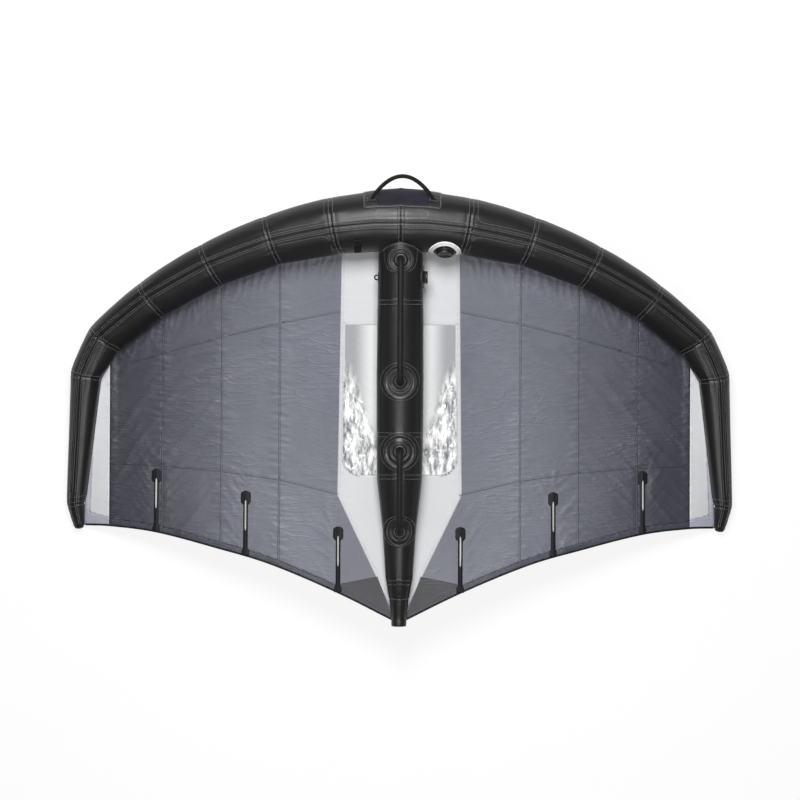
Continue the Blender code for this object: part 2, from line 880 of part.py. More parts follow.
def nose_handle(webbing_material, pad_material):
    limits = (nose_handle_side - nose_pad_half_width, 0, nose_handle_side + nose_pad_half_width)
    angles = [math.radians(angle) for angle in nose_pad_angles]
    walls = (4 * gap, 4 * gap + pad_height)
    patch("nose_handle_pad", le_point, limits, angles, walls, pad_material, pieces=(3, 12))
    foot_angle = math.radians(nose_foot_angle)
    lift = pad_height + 5 * gap + nose_handle_diameter / 2
    feet = [
        le_point(nose_handle_side + way * nose_handle_half_width, foot_angle, lift)
        for way in (left, right)
    ]
    feet[0].y = feet[1].y = max(foot.y for foot in feet)
    feet[0].z = feet[1].z = max(foot.z for foot in feet)
    slant = math.radians(nose_handle_lift)
    out = Vector((0, math.cos(slant), math.sin(slant)))
    path = bow(feet[0], feet[1], out, nose_handle_reach)
    middle = (feet[0] + feet[1]) / 2
    rod("nose_handle", path, nose_handle_diameter / 2, webbing_material, middle, axes=out)


def flip_cap(name, seat, lift, radius, finish_material):
    """A flat lid on a valve, hinged at its rim."""
    hinge = seat.centre + seat.normal * (lift + gap) + seat.across * (radius + cap_hinge_reach)
    rings = [
        seat.flat(radius * 0.94, lift + gap),
        seat.flat(radius, lift + gap + cap_height / 3),
        seat.flat(radius, lift + gap + cap_height * 0.8),
        seat.flat(radius * 0.92, lift + gap + cap_height),
        seat.flat(radius * 0.7, lift + gap + cap_height),
        seat.flat(radius * 0.62, lift + gap + cap_height * 0.7),
    ]
    return turned(name, rings, finish_material, hinge)


def leading_edge_valve(sleeve, bladder, ring_material, moulding):
    seat = le_seat(le_valve_place, math.radians(le_valve_angle))
    bore = valve_stem_radius + 3 * gap
    for target in (sleeve, bladder):
        rings = [seat.flat(bore, -valve_stem_length * 2), seat.flat(bore, valve_stem_length)]
        cut(target, turned(f"cutter_{target.name}", rings, moulding))
    top = gap + valve_ring_height
    rings = seat.bent_run(bore, valve_ring_radius, gap) + seat.bent_run(valve_ring_radius, bore, top)
    turned("valve_surround_ring", rings, ring_material, hollow=True)
    base = 2 * gap + valve_ring_height
    rings = [
        seat.flat(valve_stem_radius, -valve_stem_length),
        *seat.bent_run(valve_stem_radius, valve_flange_radius, base),
        seat.bent(valve_flange_radius, base + valve_flange_height),
        seat.bent(valve_neck_radius, base + valve_flange_height),
        seat.flat(valve_neck_radius, valve_neck_height),
    ]
    turned("inflation_valve_body", rings, moulding)
    flip_cap("inflation_valve_cap", seat, valve_neck_height, valve_neck_radius, moulding)


def strut_valve(sleeve, bladder, moulding):
    seat = strut_side_seat(nose_y - strut_valve_back)
    bore = valve_stem_radius * 0.7 + gap
    for target in (sleeve, bladder):
        rings = [seat.flat(bore, -valve_stem_length), seat.flat(bore, valve_stem_length)]
        cut(target, turned(f"cutter_{target.name}", rings, moulding))
    rings = [
        seat.flat(bore - gap, -valve_stem_length * 0.7),
        *seat.bent_run(bore - gap, valve_flange_radius, gap * 1.5),
        seat.bent(valve_flange_radius, gap + valve_flange_height),
        seat.bent(knob_radius, gap + valve_flange_height),
        seat.flat(knob_radius, knob_height / 2),
    ]
    turned("strut_valve_body", rings, moulding)
    flip_cap("strut_valve_cap", seat, knob_height / 2, knob_radius, moulding)


def webbing_pieces(webbing_material):
    angles = [math.radians(angle) for angle in tab_angles]
    limits = (-tab_place - tab_width / 2, -tab_place + tab_width / 2)
    hinge = le_point(-tab_place, angles[0], gap)
    walls = (0, webbing)
    patch("leading_edge_tab", le_point, limits, angles, walls, webbing_material, hinge, (3, 8))
    y = nose_y - loop_back
    radius = loop_diameter / 2
    facet_depth = strut_section(y)[1] * (1 - math.cos(math.pi / strut_sides))
    lift = radius + 2 * gap - facet_depth
    feet = [
        strut_point(y + way * (loop_length / 2 - radius), -math.pi / 2, lift)
        for way in (left, right)
    ]
    out = Vector((-1, 0, 0))
    path = arch(feet[0], feet[1], out, loop_reach - loop_diameter, 2.4, 10)
    middle = (feet[0] + feet[1]) / 2
    rod("strut_side_loop", path, radius, webbing_material, middle, 8, out)


def build():
    for old in list(bpy.data.objects):
        bpy.data.objects.remove(old, do_unlink=True)
    sleeve = material("tube_cloth", (0.020, 0.019, 0.021), 0.75)
    bladder_film = material("bladder_film", (0.62, 0.66, 0.70), 0.3)
    grey = material("canopy_cloth", (0.165, 0.172, 0.205), 0.55)
    white = material("white_cloth", (0.72, 0.73, 0.74), 0.55)
    clear = material("window_film", (0.55, 0.56, 0.60), 0.15, alpha=0.5)
    band = material("edge_cloth", (0.060, 0.066, 0.095), 0.6)
    strip = material("tip_cloth", (0.60, 0.61, 0.64), 0.5)
    pad = material("pad_cloth", (0.024, 0.021, 0.031), 0.85)
    moulding = material("valve_moulding", (0.016, 0.016, 0.018), 0.45)
    ring = material("valve_ring_film", (0.75, 0.75, 0.76), 0.4)
    grip = material("grip_foam", (0.018, 0.018, 0.020), 0.85)
    webbing_material = material("webbing", (0.014, 0.014, 0.016), 0.8)
    rod_material = material("batten_pocket", (0.040, 0.042, 0.055), 0.6)

    panels = {}
    for side_name, side in sides:
        for index in range(last_station):
            name = f"leading_edge_sleeve_{index + 1}_{side_name}"
            panels[name] = sleeve_panel(name, index, side, sleeve)
    air_tube = le_bladder(bladder_film)
    strut = {
        name: strut_panel(f"strut_sleeve_{name}", first, second, sleeve)
        for name, first, second in strut_panels
    }
    bm = bmesh.new()
    rings = [station.ring(gap) for station in reversed(stations[1:3])]
    rings = [mirrored(ring_points, left) for ring_points in rings]
    rings += [station.ring(gap) for station in stations[:3]]
    rows = loft(bm, rings)
    bm.faces.new(rows[0])
    bm.faces.new(rows[-1])
    cut(strut["front"], finish("cutter_leading_edge", bm, sleeve))
    strut_air_tube = strut_bladder(bladder_film)
    strut_end_cap(sleeve)
    for side_name, side in sides:
        canopy(side_name, side, grey, white, clear, band, strip)
        trees = sheet_tree(side_name)
        for number, (x, length) in enumerate(zip(batten_places, batten_lengths), 1):
            batten(f"batten_{number}_{side_name}", x, length, side, trees, rod_material)
    strut_handles(moulding, grip)
    nose_handle(webbing_material, pad)
    leading_edge_valve(panels["leading_edge_sleeve_1_right"], air_tube, ring, moulding)
    strut_valve(strut["front"], strut_air_tube, moulding)
    webbing_pieces(webbing_material)


build()
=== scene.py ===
import math

import bmesh
import bpy
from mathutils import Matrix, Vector, noise
from mathutils.geometry import delaunay_2d_cdt


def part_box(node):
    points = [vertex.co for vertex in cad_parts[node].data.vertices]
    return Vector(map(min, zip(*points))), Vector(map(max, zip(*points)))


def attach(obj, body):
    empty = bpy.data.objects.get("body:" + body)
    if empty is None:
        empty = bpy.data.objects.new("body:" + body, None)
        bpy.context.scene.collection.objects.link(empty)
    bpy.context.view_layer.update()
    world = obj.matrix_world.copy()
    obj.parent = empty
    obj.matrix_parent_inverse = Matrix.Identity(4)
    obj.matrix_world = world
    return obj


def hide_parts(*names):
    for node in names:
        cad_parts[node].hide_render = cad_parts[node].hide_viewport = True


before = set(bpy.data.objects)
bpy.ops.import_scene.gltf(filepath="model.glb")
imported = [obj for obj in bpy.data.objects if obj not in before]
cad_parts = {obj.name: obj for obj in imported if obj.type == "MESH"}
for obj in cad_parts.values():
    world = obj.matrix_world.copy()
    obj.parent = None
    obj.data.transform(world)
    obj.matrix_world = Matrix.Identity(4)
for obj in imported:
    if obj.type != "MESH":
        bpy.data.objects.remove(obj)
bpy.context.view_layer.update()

bl_info = {
    "name": "Inflatable foil wing",
    "version": (1, 0, 0),
    "blender": (4, 5, 0),
    "location": "View3D > Sidebar > Foil wing",
    "description": "Sewn cloth, film, webbing and moulded fittings for an inflatable hand-held wing",
    "category": "Object",
}

# The layout, in metres: the same places as the solids hold
half_span = 1.400
root_chord = 1.689
nose_y = 0.7557
centre_height = 0.300
tube_diameter = 0.263
tube_span_shares = (0, 0.1923, 0.3796, 0.5643, 0.7443, 0.8871, 0.9429, 0.9725, 0.9632)
tube_back_shares = (0, 0.0172, 0.0533, 0.1131, 0.1983, 0.2954, 0.3843, 0.7034, 0.7626)
tube_height_shares = (1, 0.95, 0.833, 0.66, 0.45, 0, 0, 0, 0)
tube_girth_shares = (1, 0.905, 0.798, 0.726, 0.643, 0.570, 0.490, 0.300, 0.179)
tube_tilt_shares = (0, 0.1, 0.37, 0.63, 0.8, 1, 1, 1, 1)
seam_step = math.tau / 19
attach_turns = 12
strut_diameter = 0.196
strut_back_shares = (0.0, 0.0781, 0.246, 0.3993, 0.5293, 0.6364, 0.7626, 0.884, 0.9331, 0.9778)
strut_girth_shares = (0.945, 0.95, 0.985, 1, 0.99, 0.968, 0.716, 0.575, 0.417, 0.327)
strut_drop_shares = (0, 0, 0, 0, 0, 0, 0.3, 0.62, 0.83, 1)
strut_tail_drop = 0.045
strut_parts = (("front", 2), ("middle", 4), ("rear", 7), ("tail", 9))
camber = 0.045
camber_span_shares = (0, 0.09, 0.25, 0.45, 0.7, 0.87, 0.95)
camber_shares = (0, 0.35, 0.85, 1, 0.75, 0.35, 0)
edge_span_shares = (0.016, 0.183, 0.386, 0.537, 0.728, 0.869, 0.948)
edge_back_shares = (0.9866, 0.9183, 0.849, 0.8129, 0.7738, 0.7602, 0.7590)
edge_height_shares = (0.777, 0.75, 0.66, 0.56, 0.367, 0.18, 0.048)
edge_band = 0.027
white_width = 0.239
white_corner = (0.2526, nose_y - 1.1455)
white_tail_y = nose_y - 1.608
window_margin = 0.0115
window_top = nose_y - 0.432
window_foot = nose_y - 1.063
window_corner = 0.071
inner_seam = 0.503
middle_seam = 0.745
outer_seam = 0.9955
strip_inner = 1.2195
strip_outer = 1.289
strip_foot = (1.305, nose_y - 1.2286)
strip_foot_rise = 0.021
cloth_gap = 0.0003
tail_y = nose_y - root_chord
right = 1
left = -1
sides = (right, left)


def named(stem, side):
    """A piece's name on one side of the wing."""
    return f"{stem}_{'right' if side == right else 'left'}"


# Tables and curves

def between(value, places, heights):
    """Straight-line reading of a table."""
    if value <= places[0]:
        return heights[0]
    for low, high, first, last in zip(places, places[1:], heights, heights[1:]):
        if value <= high:
            return first + (last - first) * ((value - low) / (high - low))
    return heights[-1]


def smooth(value, places, heights):
    """A smooth curve through a table's points."""
    last = len(places) - 1
    value = min(max(value, places[0]), places[last])
    index = next(i for i in range(last) if value <= places[i + 1])
    before, after = max(index - 1, 0), min(index + 2, last)
    width = places[index + 1] - places[index]
    part = (value - places[index]) / width
    start = (heights[index + 1] - heights[before]) / (places[index + 1] - places[before]) * width
    end = (heights[after] - heights[index]) / (places[after] - places[index]) * width
    square, cube = part * part, part * part * part
    return (
        heights[index] * (2 * cube - 3 * square + 1)
        + start * (cube - 2 * square + part)
        + heights[index + 1] * (3 * square - 2 * cube)
        + end * (cube - square)
    )


def step(low, high, value):
    """0 below low, 1 above high, and a smooth rise between them."""
    part = min(max((value - low) / (high - low), 0.0), 1.0)
    return part * part * (3 - 2 * part)


def bump(distance, reach):
    """1 at no distance, falling smoothly to 0 at the reach."""
    return 1 - step(0, reach, abs(distance))


# The leading-edge tube

class Station:
    """One cross seam of the tube, on the +X side."""

    def __init__(self, index):
        self.radius = tube_diameter / 2 * tube_girth_shares[index]
        self.place = self.plan(index)
        before = self.place - self.plan(index - 1) if index else Vector((1, 0))
        last = index == len(tube_span_shares) - 1
        after = before if last else self.plan(index + 1) - self.place
        if not index:
            before = Vector((after.x, -after.y))
        along = (before.normalized() + after.normalized()).normalized()
        self.inward = Vector((along.y, -along.x, 0))
        self.miter = 1 / along.dot(after.normalized())
        self.tilt = seam_step * tube_tilt_shares[index]
        rest = self.radius * math.cos(seam_step / 2)
        self.height = max(rest, centre_height * tube_height_shares[index])

    @staticmethod
    def plan(index):
        widest = max(tube_span_shares)
        girth = tube_girth_shares[tube_span_shares.index(widest)]
        reach = half_span - tube_diameter / 2 * girth
        x = reach * tube_span_shares[index] / widest
        return Vector((x, nose_y - root_chord * tube_back_shares[index]))

    def point(self, angle, lift=0.0):
        """A point at an angle from the lengthwise seam, on the tube or off it by lift."""
        angle += math.pi / 2 + self.tilt
        radius = self.radius + lift
        across = self.inward * (radius * self.miter * math.cos(angle))
        centre = Vector((self.place.x, self.place.y, self.height))
        return centre + across + Vector((0, 0, radius * math.sin(angle)))


stations = [Station(index) for index in range(len(tube_span_shares))]
tip = len(stations) - 1


def panel_at(place):
    """The two cross seams round a place, and how far it lies between them."""
    index = min(int(place), tip - 1)
    return stations[index], stations[index + 1], place - index


def tube_point(place, angle, lift=0.0):
    """A point on the tube: place counts its cross seams from the centre, and angle turns
    from the lengthwise seam towards the front."""
    first, second, part = panel_at(place)
    return first.point(angle, lift).lerp(second.point(angle, lift), part)


def tube_radius(place):
    first, second, part = panel_at(place)
    return first.radius + (second.radius - first.radius) * part


def tube_normal(place, angle):
    return (tube_point(place, angle, 0.01) - tube_point(place, angle)).normalized()


def tube_length(index):
    return (stations[index + 1].place - stations[index].place).length


# The centre strut

strut_backs = [root_chord * share for share in strut_back_shares]
strut_radii = [strut_diameter / 2 * share for share in strut_girth_shares]
strut_heights = [centre_height - strut_tail_drop * share for share in strut_drop_shares]


def strut_section(y):
    """The strut's axis height and radius."""
    back = nose_y - y
    return between(back, strut_backs, strut_heights), between(back, strut_backs, strut_radii)


def strut_point(y, angle, lift=0.0):
    """A point on the strut at an angle from its top line towards +X, or off it by lift."""
    height, radius = strut_section(y)
    reach = radius + lift
    return Vector((reach * math.sin(angle), y, height + reach * math.cos(angle)))


def strut_front(angle):
    """Where the strut's side meets the leading-edge tube."""
    rise = strut_section(stations[0].place.y - stations[0].radius)[1] * math.cos(angle)
    return nose_y - math.sqrt(stations[0].radius ** 2 - rise * rise)


# The canopy's one surface, from the tube to the trailing edge

def attach_point(station):
    clear = station.inward * (0.0013 * station.miter)
    return station.point(attach_turns * seam_step) + clear


attach_points = [attach_point(station) for station in stations]
attach_x = [point.x for point in attach_points]
attach_x[-1] = max(attach_x[-1], attach_x[-2] + cloth_gap)
attach_y = [point.y for point in attach_points]
attach_z = [point.z for point in attach_points]
edge_x = [half_span * share for share in edge_span_shares]
edge_y = [nose_y - root_chord * share for share in edge_back_shares]
edge_z = [centre_height * share for share in edge_height_shares]
camber_x = [half_span * share for share in camber_span_shares]


def front_line(x):
    return between(x, attach_x, attach_y)


def rear_line(x):
    return smooth(x, edge_x, edge_y)


def surface(x, y):
    """The canopy's height at a place on the +X side."""
    front, rear = front_line(x), rear_line(x)
    depth = max(front - rear, edge_band)
    part = min(max((front - y) / depth, 0.0), 1.0)
    straight = between(x, attach_x, attach_z) * (1 - part) + smooth(x, edge_x, edge_z) * part
    fullness = camber * smooth(x, camber_x, camber_shares)
    return straight - fullness * depth * math.sin(math.pi * part ** 0.8)


def strut_side(y):
    """Half the width at which the canopy meets the strut."""
    height, radius = strut_section(y)
    under = height - surface(radius / 2, y) - 0.0015
    return math.sqrt(max(radius * radius - under * under, radius * radius / 4)) + cloth_gap


# Sizes and colours that a user would change

class WingSizes(bpy.types.PropertyGroup):
    cloth_step: bpy.props.FloatProperty(
        name="Cloth step", default=0.0075, min=0.004, unit="LENGTH",
        description="Distance between the points of a sheet of canopy cloth",
    )
    film_step: bpy.props.FloatProperty(
        name="Film step", default=0.006, min=0.003, unit="LENGTH",
        description="Distance between the points of the crinkled window film",
    )
    cloth_thickness: bpy.props.FloatProperty(
        name="Cloth thickness", default=0.0006, min=0.0002, unit="LENGTH",
        description="Thickness of the canopy cloth with its coating",
    )
    wrinkle_height: bpy.props.FloatProperty(
        name="Wrinkle height", default=0.0042, min=0.0, unit="LENGTH",
        description="How far the canopy's creases stand up",
    )
    crinkle_height: bpy.props.FloatProperty(
        name="Crinkle height", default=0.0036, min=0.0, unit="LENGTH",
        description="How far the creases of the window film stand up",
    )
    pucker_depth: bpy.props.FloatProperty(
        name="Pucker depth", default=0.0022, min=0.0, unit="LENGTH",
        description="How far a cross seam pulls the inflated tube in",
    )
    stitch_pitch: bpy.props.FloatProperty(
        name="Stitch pitch", default=0.0052, min=0.003, unit="LENGTH",
        description="Distance from one stitch to the next along a seam",
    )
    stitch_width: bpy.props.FloatProperty(
        name="Thread width", default=0.0011, min=0.0005, unit="LENGTH",
        description="Width of the sewing thread in a stitch",
    )
    stitch_slant: bpy.props.FloatProperty(
        name="Zigzag slant", default=math.radians(38), min=0.0, subtype="ANGLE",
        description="Angle by which each zigzag stitch leaves its seam's line",
    )


class WingColours(bpy.types.PropertyGroup):
    tube: bpy.props.FloatVectorProperty(
        name="Tube cloth", default=(0.0064, 0.0060, 0.0063), subtype="COLOR",
        description="Coated woven cloth of the inflated tubes",
    )
    canopy: bpy.props.FloatVectorProperty(
        name="Canopy cloth", default=(0.112, 0.1165, 0.146), subtype="COLOR",
        description="Light ripstop cloth of the canopy",
    )
    white: bpy.props.FloatVectorProperty(
        name="White cloth", default=(0.495, 0.50, 0.51), subtype="COLOR",
        description="White cloth beside the strut and at the tips",
    )
    edge: bpy.props.FloatVectorProperty(
        name="Edge cloth", default=(0.034, 0.037, 0.054), subtype="COLOR",
        description="Doubled cloth along the trailing edge",
    )
    thread: bpy.props.FloatVectorProperty(
        name="Thread", default=(0.30, 0.30, 0.31), subtype="COLOR",
        description="Sewing thread of the seams",
    )
    pad: bpy.props.FloatVectorProperty(
        name="Pad cloth", default=(0.0115, 0.0095, 0.0170), subtype="COLOR",
        description="Smooth cloth pad under the nose handle",
    )
    moulding: bpy.props.FloatVectorProperty(
        name="Moulded fittings", default=(0.0060, 0.0060, 0.0066), subtype="COLOR",
        description="Moulded rubber and plastic of bases and valves",
    )


def wing_sizes():
    return bpy.context.scene.wing_sizes


def wing_colours():
    return bpy.context.scene.wing_colours


# Mesh helpers

finishes = {}


def piece(name, bm, finish, body="wing", slot=None, node=None):
    """A mesh becomes a piece that rides on a body, in place of a plain solid if node names one."""
    mesh = bpy.data.meshes.new(name)
    bm.to_mesh(mesh)
    bm.free()
    return mesh_piece(name, mesh, finish, body, slot, node)


def put_in_scene(name, data):
    made = bpy.data.objects.new(name, data)
    bpy.context.scene.collection.objects.link(made)
    return made


def mesh_piece(name, mesh, finish, body, slot, node=None):
    """A ready mesh becomes a piece; its slot argument is not used."""
    mesh.shade_smooth()
    mesh.materials.clear()
    mesh.materials.append(finishes[finish])
    made = put_in_scene(name, mesh)
    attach(made, body)
    slot or finish
    if node:
        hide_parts(node)
    return made


def cloth_layer(bm):
    return bm.loops.layers.uv.get("cloth") or bm.loops.layers.uv.new("cloth")


def lay_uv(bm, read):
    """Store cloth coordinates in metres, read from each vertex's place."""
    layer = cloth_layer(bm)
    for face in bm.faces:
        for loop in face.loops:
            loop[layer].uv = read(loop.vert.co)


def round_turns(count):
    return [math.tau * k / count for k in range(count)]


def run_lengths(points):
    """How far along a path each of its points lies."""
    lengths = [0.0]
    for first, second in zip(points, points[1:]):
        lengths.append(lengths[-1] + math.dist(first, second))
    return lengths


def ring_rows(bm, rings, closed=True):
    """Skin rings of points with four-sided faces, and give back the rows of vertices."""
    rows = [[bm.verts.new(point) for point in ring] for ring in rings]
    count = len(rows[0])
    for row, following in zip(rows, rows[1:]):
        for k in range(count if closed else count - 1):
            n = (k + 1) % count
            bm.faces.new((row[k], row[n], following[n], following[k]))
    return rows


def upward(bm):
    """Faces of an open sheet point up."""
    bm.normal_update()
    if sum(face.normal.z for face in bm.faces) < 0:
        bmesh.ops.reverse_faces(bm, faces=bm.faces)


def outwards(bm):
    """Faces of a closed shape point out of it."""
    bmesh.ops.recalc_face_normals(bm, faces=bm.faces)
    if bm.calc_volume(signed=True) < 0:
        bmesh.ops.reverse_faces(bm, faces=bm.faces)


def cap_fan(bm, row):
    """Close a ring with a fan to its middle."""
    centre = sum((vertex.co for vertex in row), Vector()) / len(row)
    middle = bm.verts.new(centre)
    for k in range(len(row)):
        bm.faces.new((row[k], row[(k + 1) % len(row)], middle))


def turned_rows(bm, rings, segments):
    """Skin rings that are each a function of an angle."""
    turns = round_turns(segments)
    return ring_rows(bm, [[ring(turn) for turn in turns] for ring in rings])


def close_ends(bm, rows):
    """Close both ends of a skinned tube, and point its faces out."""
    cap_fan(bm, rows[0])
    cap_fan(bm, rows[-1])
    outwards(bm)


def lathe(rings, segments):
    """A closed body of rings, each a function of an angle, from its underside to its top."""
    bm = bmesh.new()
    close_ends(bm, turned_rows(bm, rings, segments))
    return bm


def washer(rings):
    """A closed ring round a tube, its section given as rings from inside to outside."""
    bm = bmesh.new()
    rows = turned_rows(bm, rings, 72)
    for k in range(72):
        n = (k + 1) % 72
        bm.faces.new((rows[-1][k], rows[-1][n], rows[0][n], rows[0][k]))
    outwards(bm)
    return bm


def path_rings(path, radii, across, segments=16, squeeze=1.0):
    """Rings round a path, square to it."""
    last = len(path) - 1
    rings = []
    for k, point in enumerate(path):
        run = (path[min(k + 1, last)] - path[max(k - 1, 0)]).normalized()
        side_way = run.cross(across).normalized()
        up = side_way.cross(run).normalized()
        wide, tall = side_way * radii[k], up * (radii[k] * squeeze)
        turns = round_turns(segments)
        rings.append([point + wide * math.cos(t) + tall * math.sin(t) for t in turns])
    return rings


def with_ends(path, reaches):
    """A path carried on a little past both its ends."""
    run_in = (path[0] - path[1]).normalized()
    run_out = (path[-1] - path[-2]).normalized()
    before = [path[0] + run_in * reach for reach in reversed(reaches)]
    return before + path + [path[-1] + run_out * reach for reach in reaches]


def arch(start, end, rise_way, rise, power, count=48):
    """Points of a flattened arch from start to end."""
    middle = (start + end) / 2
    half = (end - start) / 2
    points = []
    for k in range(count + 1):
        turn = math.pi * (1 - k / count)
        across = math.copysign(abs(math.cos(turn)) ** (2 / power), math.cos(turn))
        up = max(math.sin(turn), 0) ** (2 / power)
        points.append(middle + half * across + rise_way * (rise * up))
    return points


# Materials

def feed(tree, socket, value):
    """Link another node's output into a socket, or set the socket's value."""
    if isinstance(value, bpy.types.NodeSocket):
        tree.links.new(value, socket)
    else:
        socket.default_value = value


def add_node(tree, kind, inputs=(), **settings):
    """A node with its settings, and its inputs linked or set."""
    made = tree.nodes.new(kind)
    for name, value in settings.items():
        setattr(made, name, value)
    for key, value in dict(inputs).items():
        feed(tree, made.inputs[key], value)
    return made


class Recipe:
    """A node material under construction, with a Principled shader as its surface."""

    def __init__(self, name, colour, roughness):
        self.material = bpy.data.materials.new(name)
        self.material.use_nodes = True
        self.tree = self.material.node_tree
        self.shader = self.tree.nodes["Principled BSDF"]
        self.shader.inputs["Base Color"].default_value = (*colour, 1.0)
        self.shader.inputs["Roughness"].default_value = roughness
        self.material.diffuse_color = (*colour, 1.0)
        finishes[name] = self.material

    def node(self, kind, inputs=(), **settings):
        return add_node(self.tree, kind, inputs, **settings)

    def feed(self, name, value):
        feed(self.tree, self.shader.inputs[name], value)

    def set(self, **sockets):
        """Values of the shader's own sockets, with _ for a space in their names."""
        for name, value in sockets.items():
            self.shader.inputs[name.replace("_", " ")].default_value = value

    def place(self, source="UV"):
        """Cloth coordinates, or the object's own."""
        if source == "UV":
            return self.node("ShaderNodeUVMap", uv_map="cloth").outputs["UV"]
        return self.node("ShaderNodeTexCoord").outputs["Object"]

    def noise(self, coordinates, scale, detail=3.0, roughness=0.5, stretch=(1, 1, 1), turn=0.0):
        """Cloudy noise, which may be stretched and turned."""
        mapping = {"Scale": stretch, "Rotation": (0, 0, turn), "Vector": coordinates}
        mapping = self.node("ShaderNodeMapping", mapping)
        inputs = {"Scale": scale, "Detail": detail, "Roughness": roughness}
        inputs["Vector"] = mapping.outputs["Vector"]
        return self.node("ShaderNodeTexNoise", inputs).outputs["Fac"]

    def wave(self, coordinates, scale, direction):
        """Straight bands across the cloth."""
        kind = {"bands_direction": direction, "wave_profile": "SIN"}
        inputs = {"Scale": scale, "Distortion": 0.0, "Vector": coordinates}
        return self.node("ShaderNodeTexWave", inputs, **kind).outputs["Fac"]

    def math(self, operation, *values):
        made = self.node("ShaderNodeMath", enumerate(values), operation=operation)
        return made.outputs["Value"]

    def ramp(self, factor, stops):
        """A colour read from (place, colour) stops."""
        made = self.node("ShaderNodeValToRGB", {"Fac": factor})
        elements = made.color_ramp.elements
        while len(elements) < len(stops):
            elements.new(0.5)
        for element, (place, colour) in zip(elements, stops):
            element.position = place
            element.color = (*colour, 1.0)
        return made.outputs["Color"]

    def bump(self, *layers):
        """Bump layers, each a height with its depth in metres and its strength."""
        normal = {}
        for height, depth, strength in layers:
            inputs = {"Distance": depth, "Strength": strength, "Height": height, **normal}
            normal = {"Normal": self.node("ShaderNodeBump", inputs).outputs["Normal"]}
        self.feed("Normal", normal["Normal"])

    def apart(self, coordinates):
        """How far out from the centre line a place is, and how far along the wing."""
        parts = self.node("ShaderNodeSeparateXYZ", {0: coordinates}).outputs
        return self.math("ABSOLUTE", parts["X"]), parts["Y"]

    def rise(self, value, low, high):
        """0 below low, 1 above high, smooth between them; low may be the higher of the two."""
        inputs = {"From Min": low, "From Max": high, "Value": value}
        made = self.node("ShaderNodeMapRange", inputs, interpolation_type="SMOOTHSTEP")
        return made.outputs["Result"]

    def blend(self, factor, first, second, way="MIX"):
        """Mix two colours, each a socket or three numbers."""
        first, second = ((*c, 1.0) if isinstance(c, tuple) else c for c in (first, second))
        inputs = {"Factor": factor, 6: first, 7: second}
        return self.node("ShaderNodeMix", inputs, data_type="RGBA", blend_type=way).outputs[2]

    def ridges(self, coordinates, scale, stretch, turn, sharp):
        """Sharp-topped folds along one direction: 1 on their crests."""
        value = self.noise(coordinates, scale, 2.0, 0.5, stretch, turn)
        away = self.math("ABSOLUTE", self.math("SUBTRACT", value, 0.5))
        crest = self.math("SUBTRACT", 1.0, self.math("MULTIPLY", away, sharp))
        return self.math("POWER", self.math("MAXIMUM", crest, 0.0), 2.0)

    def paint(self, colour):
        self.feed("Base Color", colour)

    def rough(self, factor, low, high):
        """Roughness between low and high as the factor goes from 0 to 1."""
        spread = self.node("ShaderNodeMapRange", {"To Min": low, "To Max": high, "Value": factor})
        self.feed("Roughness", spread.outputs["Result"])


def shade(colour, share):
    return tuple(min(value * share, 1.0) for value in colour)


def plain_weave(recipe, coordinates, thread):
    """Threads over and under each other, thread apart."""
    scale = math.tau / thread / 20
    waves = [recipe.wave(coordinates, scale, direction) for direction in ("X", "Y")]
    return recipe.math("MAXIMUM", *waves)


def ripstop_lines(recipe, coordinates, pitch, share):
    """A grid of thicker threads, pitch apart: 1 on the threads."""
    scale = math.tau / pitch / 20
    lines = []
    for direction in ("X", "Y"):
        wave = recipe.wave(coordinates, scale, direction)
        lines.append(recipe.math("GREATER_THAN", wave, 1 - share))
    return recipe.math("MAXIMUM", *lines)


def worn_finish(name, colour, roughness, marks, tones, rough, bumps, source="Object", **more):
    """A finish tinted by one noise; a finer noise or a weave may stand on it in the bumps."""
    recipe = Recipe(name, colour, roughness)
    place = recipe.place(source)
    layers = {"marks": recipe.noise(place, *marks)}
    if "fine" in more:
        layers["fine"] = recipe.noise(place, *more["fine"])
    if "weave" in more:
        layers["weave"] = plain_weave(recipe, place, more["weave"])
    recipe.paint(recipe.ramp(layers["marks"], tones))
    if rough:
        recipe.rough(layers[more.get("rough_by", "marks")], *rough)
    if "specular" in more:
        recipe.set(Specular_IOR_Level=more["specular"])
    recipe.bump(*((layers[key], depth, strength) for key, depth, strength in bumps))
    return recipe


def tube_finish(colour):
    """Heavy coated cloth, with painted shade darkening the grooves of its seams."""
    recipe = Recipe("tube_cloth", colour, 0.5)
    cloth = recipe.place()
    broad = recipe.noise(cloth, 9.0, 4.0, 0.6)
    fine = recipe.noise(cloth, 260.0, 2.0)
    tone = recipe.ramp(broad, ((0.3, shade(colour, 0.9)), (0.7, shade(colour, 1.15))))
    # Painted shade: the attribute laid in the seams' grooves darkens the cloth there.
    seam_shade = recipe.node("ShaderNodeAttribute", attribute_name="seam_shade").outputs["Fac"]
    recipe.paint(recipe.blend(seam_shade, tone, (0.12, 0.12, 0.13), "MULTIPLY"))
    recipe.rough(broad, 0.36, 0.46)
    recipe.set(Specular_IOR_Level=0.42)
    weave = plain_weave(recipe, cloth, 0.0012)
    recipe.bump((broad, 0.004, 0.35), (fine, 0.0005, 0.05), (weave, 0.0002, 0.07))


